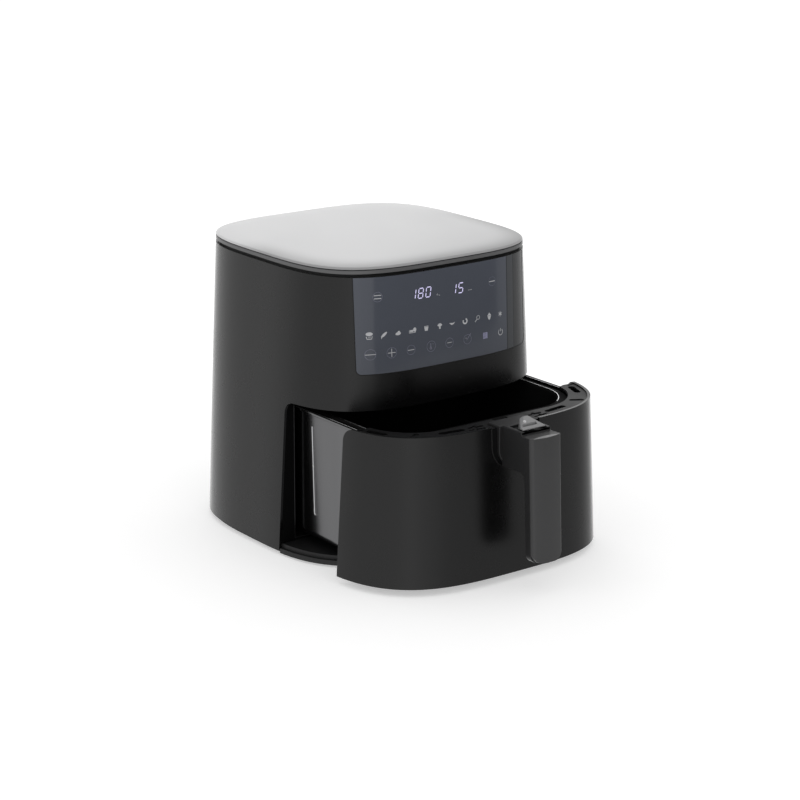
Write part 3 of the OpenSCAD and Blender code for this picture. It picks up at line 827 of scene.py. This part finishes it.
def fish(x, z):
    lit.patch([
        (x - 3.9, z + 1.1), (x - 1.0, z - 1.4), (x + 1.4, z - 0.8), (x + 3.9, z + 1.1), (x + 0.8, z + 0.6),
    ])


def curl(x, z):
    lit.circle(x, z, 2.5, 1.5, 150, 430)


def drumstick(x, z):
    lit.circle(x + 1.2, z + 1.2, 2.0, 0.5)
    lit.line([(x - 0.2, z - 0.2), (x - 3.0, z - 3.0)], 0.7)


def cake(x, z):
    lit.patch([(x, z - 3.8), (x + 1.4, z - 2.6), (x + 2.4, z + 0.4), (x - 2.4, z + 0.4), (x - 1.4, z - 2.6)])
    lit.patch([(x - 3.0, z + 0.8), (x + 3.0, z + 0.8), (x + 1.4, z + 2.2), (x, z + 4.0), (x - 1.4, z + 2.2)])


def flake(x, z):
    for k in range(3):
        t = radians(60 * k + 30)
        u, v = 2.9 * cos(t), 2.9 * sin(t)
        lit.line([(x - u, z - v), (x + u, z + v)], 0.55)
    lit.circle(x, z, 1.3, 0.4)


for x, draw in zip(PROGRAM_X, [fries, stick, loaf, dish, cup, muffin, fish, curl, drumstick, cake, flake]):
    draw(x, PROGRAM_Z)

keys = [-96.2, -74.2, -51.8, -26.8, -3.2, 20.4, 44.4, 66.4]
for x, r in zip(keys, [5.4, 5.4, 4.9, 5.5, 5.0, 5.0]):
    faint.circle(x, KEY_Z, r, 0.26)
faint.circle(keys[3] - 0.6, KEY_Z - 1.8, 1.1, 0.5)
lit.circle(keys[7], KEY_Z, 3.1, 0.6, 125, 415)
# Strokes on the lower keys: which marks, which key, both ends from the key's middle, width
KEY_STROKES = [
    (lit, 0, -5.2, 0, 5.2, 0, 0.6), (lit, 1, -4.2, 0, 4.2, 0, 0.65), (lit, 1, 0, -4.2, 0, 4.2, 0.65),
    (lit, 2, -3.8, 0, 3.8, 0, 0.65), (faint, 3, -0.6, -0.8, -0.6, 3.2, 0.6),
    (faint, 3, 1.8, 2.2, 3.0, 2.2, 0.4), (lit, 4, -3.2, 0.2, 3.2, 0.2, 0.5),
    (faint, 5, -1.2, -0.8, 4.6, 5.6, 0.5), (lit, 5, -2.4, 1.4, -1.4, 1.4, 0.6), (lit, 7, 0, 0.8, 0, 4.0, 0.6),
]
for marks, k, x0, z0, x1, z1, width in KEY_STROKES:
    marks.line([(keys[k] + x0, KEY_Z + z0), (keys[k] + x1, KEY_Z + z1)], width)
lit_key = Marks()
for up in (-2.7, -1.6, -0.5, 0.6, 1.7, 2.8):
    lit_key.line([(keys[6] - 3.1, KEY_Z + up), (keys[6] + 3.1, KEY_Z + up)], 0.5)
lit_key.make("lit_key", KEY_LIGHT)
lit.make("panel_symbols", ICON_LIGHT)
faint.make("panel_key_rings", ICON_DIM)
small.make("panel_units", ICON_LIGHT)

# ---- drawer front ----

NOTCH, NOTCH_FOOT, NOTCH_R = 31.0, 118.0, 26.0  # half width, foot and corner radius of the handle's notch


def skirt_sheet():
    rows = list(np.linspace(FRONT_FOOT, NOTCH_FOOT, 18))
    rows += [NOTCH_FOOT + NOTCH_R - NOTCH_R * cos(radians(a)) for a in range(6, 91, 6)]
    rows += [FRONT_TOP - FRONT_R - 3]
    rows += [FRONT_TOP - FRONT_R + FRONT_R * sin(radians(a)) for a in range(0, 91, 9)]
    left, right, mid = [], [], []
    for z in rows:
        up = min(1.0, max(0.0, (NOTCH_FOOT + NOTCH_R - z) / NOTCH_R))
        edge = NOTCH - NOTCH_R
        if z > NOTCH_FOOT:
            edge += NOTCH_R * sqrt(max(0.0, 1 - up**2))
        a0 = angle_at_y(z, corner_cut(z, EDGE, FRONT_TOP, FRONT_R), -1)
        a1 = angle_at_x(z, -edge)
        a0 = a0 if a0 < 0 else a0 - 2 * pi
        half = even_row(z, a0, a1, 110, 0, -OPEN)
        left.append(half)
        right.append([(-x, y, zz) for x, y, zz in half[::-1]])
        if z <= NOTCH_FOOT:
            mid.append([(x, front_y(x, z) - OPEN, z) for x in np.linspace(-edge, edge, 9)])
    b = Builder()
    b.grid(left)
    b.grid(right)
    b.grid(mid)
    return b.make("drawer_skirt")


skirt = fillet(thicken(skirt_sheet(), 3.0), 0.9, 4, 50)
foot_z = NOTCH_FOOT + NOTCH_R
notch_path = [(-NOTCH + 0.1, z) for z in np.linspace(FRONT_TOP - 1.2, foot_z + 1, 14)]
notch_path += [
    (-NOTCH + NOTCH_R - (NOTCH_R - 0.1) * cos(t), foot_z - (NOTCH_R - 0.1) * sin(t))
    for t in np.linspace(0, pi / 2, 22)
]
notch_path += [(-x, z) for x, z in notch_path[::-1]]
notch_rim = tube_curve("notch_rim", [(x, front_y(x, z) + 0.15 - OPEN, z) for x, z in notch_path], 0.4)
skirt = join("drawer_skirt", [skirt, notch_rim])
dress(smooth(skirt), SATIN_BLACK, "drawer", ["drawer_front"])

# ---- drawer frame ----

LEDGE = 3.2  # inset of the frame from the skirt's outside


def rounded(w, f, r, end, z):
    """A rounded U in plan, from one rear end round the front to the other."""
    start = asin(max(0.0, f + r - end) / r)
    path = [(-w, end)] if end > f + r else []
    for t in np.linspace(pi + start, 1.5 * pi, 40):
        path.append((-w + r + r * cos(t), f + r + r * sin(t)))
    path = np.array(path + [(-x, y) for x, y in path[::-1]])
    return [(x, y - OPEN, z) for x, y in zip(*(spaced(values, path, 200) for values in path.T))]


def frame_deck():
    """Flat deck between the skirt and the pan's rim, from one end of the front to the other."""
    end = -EDGE - FRONT_R + 1
    a0 = angle_at_y(FRAME_TOP, end, -1, LEDGE)
    a0 = a0 if a0 < 0 else a0 - 2 * pi
    a1 = -pi - a0
    outer = even_row(FRAME_TOP, a0, a1, 200, LEDGE, -OPEN)
    inner = rounded(124.5, -119.5, 58, end, FRAME_TOP)
    b = Builder()
    b.grid([outer, inner])
    b.grid([inner, [(x, y, 158.2) for x, y, _ in inner]])
    return b.make("frame_deck_sheet")


deck = thicken(frame_deck(), 2.0)


def slot_tool(x0, y0, x1, y1, width, z0, z1=175.0):
    """Round-ended slot between two points of the open drawer's deck."""
    a = atan2(y1 - y0, x1 - x0)
    r = width / 2
    pts = []
    for x, y, first, last in ((x1, y1, -0.5, 0.5), (x0, y0, 0.5, 1.5)):
        for t in np.linspace(first * pi, last * pi, 9):
            pts.append((x + r * cos(a + t), y + r * sin(a + t)))
    return prism("slot", pts, "z", z0, z1)


# Slots through the deck and shallow grooves beside them, each from end to end with its width
SLOTS = [(55.4, -231.8, 78.6, -228.4, 6.6), (131.8, -181.2, 125.8, -197.2, 7.4)]
GROOVES = [
    (32.5, -239.4, 50.0, -236.8, 2.6), (38.0, -228.6, 43.0, -238.6, 4.0),
    (101.0, -217.0, 109.5, -222.0, 6.0), (30.5, -232.4, 46.0, -230.8, 3.4),
]
for sx in (1, -1):
    for lines, foot in ((SLOTS, 150.0), (GROOVES, FRAME_TOP - 1.1)):
        for x0, y0, x1, y1, width in lines:
            boolean(deck, slot_tool(sx * x0, y0, sx * x1, y1, width, foot))
boolean(deck, block(23.2, -232.5, -260, 140, 180))  # the handle's notch
boolean(deck, block(9, -215, -240, 136, 180))  # room for the basket's catch
fillet(deck, 0.35, 2, 40)


def end_cap(side):
    """Closes the skirt's end: up the end, round the corner and on to the deck."""
    path = [(-EDGE, z) for z in np.linspace(14, FRAME_TOP - FRONT_R, 16)]
    cy, cz = -EDGE - FRONT_R, FRAME_TOP - FRONT_R
    for t in np.linspace(0.12, pi / 2, 12):
        path.append((cy + FRONT_R * cos(t), cz + FRONT_R * sin(t)))
    path.append((cy - 3, FRAME_TOP))
    rows = []
    for y, z in path:
        x1 = side_x(y, z, LEDGE)
        rows.append([(side * x, y - OPEN, z) for x in np.linspace(132.6, x1, 5)])
    b = Builder()
    b.grid(rows, flip=side > 0)
    return fillet(thicken(b.make("end"), 2.2), 0.3, 2, 40)


# Recessed plate behind the handle's root
recess = front_sheet("plate", 30.7, 118.3, 25.7, FRAME_TOP, 6, 6, 25, 2.1, -OPEN)
plate = fillet(thicken(recess, 3.0), 0.4, 2, 40)
frame_obj = join("drawer_deck", [deck, end_cap(1), end_cap(-1), plate])
dress(smooth(frame_obj), FRAME_BLACK, "drawer", ["drawer_frame"])

# ---- pan and basket ----

# Profiles are (growth of the ring, z). The pan's goes up the outside, over the rim and down the inside.
pan_profile = [
    (-9, 20.0), (-6, 20.15), (-3.6, 20.9), (-1.8, 22.2), (-0.7, 24.0), (-0.15, 26.2), (0, 28.5), (0, 60),
    (0, 100), (0, 140), (0, 153.4), (0.35, 153.75), (1.0, 154.0), (1.2, 154.4), (1.2, 156.4), (0.95, 156.85),
    (0.4, 157.0), (-0.5, 157.0), (-0.9, 156.8), (-1.0, 156.4), (-1.0, 100), (-1.0, 28.5), (-1.2, 26.4),
    (-1.8, 24.4), (-2.9, 22.9), (-4.5, 21.6), (-6.6, 21.1), (-9.5, 21.0),
]
b = Builder()
rings = [pan_ring(g, z) for g, z in pan_profile]
b.grid(rings, wrap=True)
b.fan(rings[0], (0, -3 - OPEN, 20.0), flip=True)
b.fan(rings[-1], (0, -3 - OPEN, 21.0))
pan = b.make("pan_shell")
pan_slot = block(9, -126, -116, 150, 160)
pan_slot.location.y = -OPEN * MM
boolean(pan, pan_slot)
dress(smooth(pan, 50), PAN_STEEL, "drawer", ["outer_pan"])

lip = tube_curve("pan_lip", pan_ring(-0.4, 157.0), 0.65, cyclic=True, sides=4)
dress(lip, RIM_STEEL, "drawer")
roll = tube_curve("pan_roll", pan_ring(1.5, 157.25), 0.75, cyclic=True, sides=4)
dress(roll, BASKET_BLACK, "drawer")

# The pan's seam: a bead that leans forwards from its top to its foot and hooks in at the end. It is drawn in
# the brighter rim steel, partly a real bead and partly a painted highlight
SEAM_X, SEAM_TOP, SEAM_FOOT = 131.3, 142, 50
for s, name in ((-1, "pan_seam_highlight_left"), (1, "pan_seam_highlight_right")):
    bead = []
    for z in np.linspace(SEAM_TOP, SEAM_FOOT, 20):
        bead.append((s * SEAM_X, -82.0 - 3.4 * (SEAM_TOP - z) / (SEAM_TOP - SEAM_FOOT), z))
    for t in np.linspace(0.2, 1.5, 6):
        bead.append((s * SEAM_X, -85.4 - 2.0 * (1 - cos(t)), SEAM_FOOT - 2.4 * sin(t)))
    dress(tube_curve(name, bead, 0.95), RIM_STEEL, "drawer")

basket_profile = [
    (1.0, 156.05), (0.3, 155.8), (-0.4, 155.2), (-1.0, 153.6), (-1.0, 100.0),
    (-1.2, 60.0), (-1.6, 49.0), (-3.0, 43.5), (-6.2, 39.4), (-10.5, 37.4), (-15.5, 37.0),
]
b = Builder()
flange = [flange_ring(0.0, 154.9), flange_ring(0.0, 156.0), flange_ring(-0.4, 156.1)]
b.grid(flange + [basket_ring(g, z) for g, z in basket_profile], wrap=True, flip=True)
wall = b.make("basket_wall")
thicken(wall, 0.9, even=False)
floor_plate = prism("floor", [(x, y) for x, y, _ in basket_ring(-15.4, 0)], "z", 36.1, 37.0)
tools = []
for i in range(-5, 6):
    for j in range(-5, 6):
        if hypot(i, j) < 5.4:
            cx, cy = i * 20.0, j * 20.0 - 1 - OPEN
            if abs(cy + 1 + OPEN) > 88 or abs(cx) > 102:
                continue
            tools.append(prism("hole", circle_points(cx, cy, 3, 20), "z", 30, 42))
boolean(floor_plate, join("holes", tools))
basket = join("basket_shell", [wall, floor_plate])
dress(smooth(basket, 45), BASKET_BLACK, "drawer", ["inner_basket"])

# The basket's edge is bright behind its front run, and painted dark along the front run, where it lies in
# shade
edge = basket_ring(0.3, 156.4)
front = min(y for _, y, _ in edge)
bright = [k for k, pt in enumerate(edge) if pt[1] > front + 7]
first = next(k for k in bright if (k - 1) % len(edge) not in bright)
run = [edge[(first + k) % len(edge)] for k in range(len(bright))]
rest = [edge[(first + len(bright) - 1 + k) % len(edge)] for k in range(len(edge) - len(bright) + 2)]
rim = tube_curve("basket_edge", run, 0.75, sides=4)
dress(rim, RIM_STEEL, "drawer", ["basket_rim"])
shaded_run = tube_curve("basket_edge_front_shade", rest, 0.6, sides=4)
dress(shaded_run, BASKET_BLACK, "drawer")

# ---- handle ----

ARM_X, ARM_TOP, ARM_FRONT, ARM_FOOT = 19.0, 164.0, -178.0, 122.0
GRIP_TOP, GRIP_FACE, GRIP_LEN, TILT = 160.5, -193.7, 128.5, radians(2.9)


def lean(d, s):
    """(y, z) of the point d behind the grip's face and s below its top."""
    return (
        GRIP_FACE - OPEN + d * cos(TILT) - s * sin(TILT),
        GRIP_TOP - d * sin(TILT) - s * cos(TILT),
    )


def stand(obj):
    """Leans a piece that is drawn upright at the origin and moves it to the grip's top."""
    obj.data.transform(Matrix.Rotation(-TILT, 4, "X"))
    y, z = lean(0, 0)
    obj.data.transform(Matrix.Translation((0, y * MM, z * MM)))


def u_outline(half, foot, r, top):
    quarter = np.linspace(0, pi / 2, 14)
    pts = [(-half, top)]
    pts += [(-half + r - r * cos(t), foot + r - r * sin(t)) for t in quarter]
    pts += [(half - r + r * sin(t), foot + r - r * cos(t)) for t in quarter]
    return pts + [(half, top)]


root = prism("root", u_outline(23, 120, 20, ARM_TOP - 0.2), "y", -149.4 - OPEN, -130 - OPEN)
fillet(root, 0.9, 4, 40)

underside = [(-150 - OPEN, ARM_FOOT), (-177 - OPEN, ARM_FOOT)]
for t in np.linspace(0.1, 1.35, 8):
    underside.append((-177 - OPEN - 5 * sin(t), ARM_FOOT - 5 * (1 - cos(t))))
side = [(-148 - OPEN, ARM_TOP), (ARM_FRONT - OPEN, ARM_TOP), (ARM_FRONT - OPEN, GRIP_TOP)]
side += [lean(4.6, 0.3), lean(4.6, 60), lean(11.0, 60)] + underside[::-1] + [(-148 - OPEN, ARM_FOOT)]
arm = prism("arm", side, "x", -ARM_X + 0.25, ARM_X - 0.25)
boolean(arm, block(14.6, -180 - OPEN, -154 - OPEN, 160.6, 170))  # tray under the release cover
fillet(arm, 1.0, 4, 35)


def grip_piece(name, d0, d1, bulge, corner, top_round):
    """Upright piece between two depths, with round lower corners and a crowned front."""
    front = round_rect(-ARM_X, ARM_X, -GRIP_LEN, 30, corner, 14, 2)
    body = prism("a", front, "y", -40, 40)
    if bulge:
        sweep = (ARM_X**2 + bulge**2) / (2 * bulge)
        side_r = 3.0
        arc = []
        for x in np.linspace(-ARM_X, ARM_X, 96):
            past = max(0.0, abs(x) - (ARM_X - side_r))
            y = d0 + sweep - bulge - sqrt(sweep**2 - x**2)
            arc.append((x, y + side_r - sqrt(side_r**2 - past**2)))
        arc = [(-21, arc[0][1])] + arc + [(21, arc[-1][1])]
    else:
        arc = [(-21, d0), (21, d0)]
    section = arc + [(21, d1), (-21, d1)]
    boolean(body, prism("b", section, "z", -GRIP_LEN - 5, 40), "INTERSECT")
    r = top_round
    nose = d0 - bulge
    profile = [(nose, -GRIP_LEN - 3), (nose, -r)]
    profile += [(nose + r - r * cos(t), -r + r * sin(t)) for t in np.linspace(0.15, pi / 2, 9)]
    profile += [(d1 + 1, 0), (d1 + 1, -GRIP_LEN - 3)]
    boolean(body, prism("c", profile, "x", -30, 30), "INTERSECT")
    body.name = name
    stand(body)
    return body


backing = grip_piece("backing", 4.0, 12.0, 0, 9.0, 0.5)
fillet(backing, 1.1, 4, 40)
arm_all = join("handle_body", [root, arm, backing])
dress(smooth(arm_all, 35), HANDLE_BLACK, "drawer", ["handle_arm"])

grip = grip_piece("grip_face", 0.0, 4.0, 3.0, 12.0, 1.0)
fillet(grip, 1.0, 4, 40)
dress(smooth(grip, 35), GRIP_BLACK, "drawer", ["handle_grip"])

# Painted highlight: a light grey crescent on the grip's top, lighter than the grip where the overhead light
# falls on it
sweep = (18.0**2 + 2.6**2) / 5.2
reach = asin(16.6 / sweep)
arc = [(sweep * sin(t), sweep - 2.6 - sweep * cos(t)) for t in np.linspace(-reach, reach, 32)]
arc += [(x, 0.5 + 2.9 * (1 - (x / 16) ** 2)) for x in np.linspace(16, -16, 24)]
crown = prism("grip_top_highlight", arc, "z", -0.4, 0.12)
stand(crown)
dress(crown, GRIP_TOP_HIGHLIGHT, "drawer")

# ---- release cover ----

COVER_F, COVER_B = ARM_FRONT + 3 - OPEN, ARM_FRONT + 19 - OPEN  # y of its front and its back


def hull(name, points):
    """Convex piece round the points."""
    bm = bmesh.new()
    for p in points:
        bm.verts.new([c * MM for c in p])
    bmesh.ops.convex_hull(bm, input=bm.verts)
    loose = [v for v in bm.verts if not v.link_faces]
    bmesh.ops.delete(bm, geom=loose, context="VERTS")
    bmesh.ops.dissolve_limit(bm, angle_limit=radians(1), verts=bm.verts, edges=bm.edges)
    bmesh.ops.recalc_face_normals(bm, faces=bm.faces)
    return from_bmesh(name, bm)


def both_sides(points):
    return [(side * x, y, z) for x, y, z in points for side in (-1, 1)]


wedge = hull("release_shell", both_sides([
    (14.5, COVER_F, 164.2), (14.5, COVER_F, 165.0), (13.4, COVER_F + 4.4, 164.15), (7.2, COVER_B, 161.4),
    (14.1, COVER_F + 4, 165.6), (4.6, COVER_B - 4.0, 172.2), (5.4, COVER_B, 171.4),
    (2.6, COVER_B - 2.6, 173.8), (2.8, COVER_B, 172.8),
]))
pocket = hull("pocket", both_sides([
    (3.6, COVER_F + 8, 160), (3.6, COVER_F + 8, 165.6), (3.4, COVER_B - 3, 171.2), (3.4, COVER_B + 3, 171.2),
    (3.6, COVER_B + 3, 160),
]))
boolean(wedge, pocket)
slot = hull("slot", [
    (x, y, z) for x in (-11.4, 6.8) for y in (COVER_F + 3.0, COVER_F + 5.8) for z in (160.0, 169.0)
])
boolean(wedge, slot)
fillet(wedge, 0.35, 3, 25)
ball = bmesh.new()
bmesh.ops.create_uvsphere(
    ball, u_segments=20, v_segments=12, radius=1.8 * MM,
    matrix=Matrix.Translation((-5.6 * MM, (COVER_F + 8.4) * MM, 169.8 * MM)),
)
nub = from_bmesh("nub", ball)
dress(smooth(nub, 60), NUB_GREY, "cover")
dress(smooth(wedge, 30), COVER_CLEAR, "cover", ["release_cover"])
# Painted shadow: a black sheet in the slot under the cover's surface, where there is only shade
slot_shade = hull("slot_shadow", [
    (x, y, z) for x in (-11.2, 6.6) for y in (COVER_F + 3.2, COVER_F + 5.6) for z in (164.5, 165.1)
])
dress(slot_shade, GAP_BLACK, "cover")

# ---- fan guard, as bent wire ----

wires = []
for r in range(22, 103, 16):
    pts = [(x, y, 174.0) for x, y in circle_points(0, 0, r, 72)]
    wires.append(tube_curve("wire", pts, 1.1, cyclic=True))
for k in range(4):
    t = radians(45 * k)
    pts = [(107 * s * cos(t), 107 * s * sin(t), 176.0) for s in np.linspace(-1, 1, 15)]
    wires.append(tube_curve("wire", pts, 1.1))
guard = join("guard_wires", wires)
dress(smooth(guard, 60), RIM_STEEL, "housing", ["fan_guard"])

# ---- carried-over CAD nodes ----

FINISHES = [
    (GAP_BLACK, "top_frame"),
    (DUCT_BLACK, "glass_carrier cooling_fan board_posts exhaust_duct"),
    (BOARD_GREEN, "display_board power_board"),
    (LIGHT_GUIDE, "display_module"),
    (BASE_BLACK, "base_plate rear_vent_grille"),
    (FOOT_RUBBER, "rubber_feet basket_feet"),
    (BOLT_STEEL, "base_screws shroud_screws fan_nut motor_shaft temperature_sensor bracket_screws "
                 "grip_screws release_spring latch_pin"),
    (TRIM_BLACK, "cord_inlet_gland opening_trim"),
    (LINER_STEEL, "cavity_liner chamber_plate"),
    (SHEET_STEEL, "guide_rails heat_shroud"),
    (ELEMENT, "heating_element"),
    (ZINC, "element_brackets motor_bracket motor_posts basket_catch pan_bracket latch_hook"),
    (FAN_ALU, "hot_air_fan"),
    (BRONZE, "bearing_bushes"),
    (CORE_STEEL, "motor_rotor motor_stator"),
    (COPPER, "motor_coil"),
    (CERAMIC, "thermal_fuse"),
    (SWITCH_BLUE, "door_switch"),
    (PLUNGER_RED, "switch_plunger"),
    (BUTTON_GREY, "release_button"),
]
# Pieces that are too fine or too round for an edge bevel
FINE = {"heating_element", "release_spring", "motor_shaft", "switch_plunger", "latch_pin", "fan_nut"}
for name, mat in [(name, mat) for mat, names in FINISHES for name in names.split()]:
    obj = NODES[name]
    if obj.material_slots:
        for s in obj.material_slots:
            s.material = mat
    else:
        obj.data.materials.append(mat)
    obj.data.polygons.foreach_set("use_smooth", [True] * len(obj.data.polygons))
    obj.data.set_sharp_from_angle(angle=radians(32))
    if name not in FINE:
        mod = obj.modifiers.new("edge", "BEVEL")
        mod.width = 0.22 * MM
        mod.segments = 2
        mod.limit_method = "ANGLE"
        mod.angle_limit = radians(45)
        mod.harden_normals = True

# ---- floor, light and camera ----

b = Builder()
steps = np.linspace(-16000, 16000, 24)
b.grid([[(x, y, 0.0) for x in steps] for y in steps])
floor = b.make("floor")
floor.data.materials.append(material(
    "pale_floor", (0.80, 0.80, 0.80), rough=0.6, specular=0.0, vary=0.003, vary_scale=2,
    glow=(1.0, 1.0, 1.0), glow_strength=0.42,
))
floor.visible_glossy = False

# Brightness of the studio's walls by bearing, in degrees from +X towards +Y
LEVELS = [
    (-180, 0.76), (-150, 0.80), (-125, 0.92), (-100, 0.74), (-75, 0.52), (-45, 0.44), (-15, 0.42), (12, 0.66),
    (36, 1.80), (66, 1.75), (95, 0.98), (120, 0.70), (150, 0.68), (180, 0.76),
]
world = bpy.data.worlds.new("studio")
scene.world = world
world.use_nodes = True
sky = world.node_tree
axes = shader(sky, "SeparateXYZ", {"Vector": shader(sky, "TexCoord").outputs["Generated"]})
bearing = shader(sky, "Math", {0: axes.outputs["Y"], 1: axes.outputs["X"]}, operation="ARCTAN2")
turn = shader(sky, "MapRange", {"Value": bearing, "From Min": -pi, "From Max": pi})
walls = shader(sky, "ValToRGB", {"Fac": turn})
walls.color_ramp.interpolation = "EASE"
set_stops(walls.color_ramp, [((degrees + 180) / 360, (level, level, level, 1)) for degrees, level in LEVELS])
high = {"Value": axes.outputs["Z"], "From Max": 0.35}
overhead = shader(sky, "MapRange", high, interpolation_type="SMOOTHSTEP")
blend = shader(sky, "Mix", {
    "Factor": overhead, "A": walls, "B": (0.80, 0.80, 0.80, 1),
}, data_type="RGBA")
plug(sky, sky.nodes["Background"], {"Color": blend.outputs["Result"]})

# Black card in front of the control panel, seen in reflections only
b = Builder()
b.grid([[(x, -420, z) for x in (-112, 420)] for z in (150, 420)])
card = b.make("dark_card")
card.data.materials.append(material("card_black", (0.001, 0.001, 0.001), rough=1.0, specular=0.0, vary=0.0))
card.visible_camera = card.visible_diffuse = card.visible_shadow = card.visible_transmission = False

light = bpy.data.lights.new("back_soft", "AREA")
light.shape = "RECTANGLE"
light.size = light.size_y = 2.0
light.energy = 9
lamp = add_object("back_soft", light)
lamp.location = (0.9, 2.4, 1.7)
lamp.rotation_euler = (Vector((0, 0, 0.2)) - lamp.location).to_track_quat("-Z", "Y").to_euler()

# Camera, fitted to the photo: it looks from the front left, a little down, with a slight lens shift
camera = bpy.data.cameras.new("camera")
camera.sensor_width = 36.0
camera.lens = 100.5516
camera.shift_x, camera.shift_y = 0.0395625, -0.0353625
camera.clip_end = 60.0
cam = add_object("camera", camera)
azimuth, elevation, distance = radians(-36.31), radians(15.827), 2.4168
aim = Vector((0, 0, 0.1592))
cam.location = aim + distance * Vector((
    sin(azimuth) * cos(elevation), -cos(azimuth) * cos(elevation), sin(elevation),
))
cam.rotation_euler = (aim - cam.location).to_track_quat("-Z", "Y").to_euler()
scene.camera = cam
scene.view_settings.view_transform = "Standard"
scene.view_settings.look = "None"
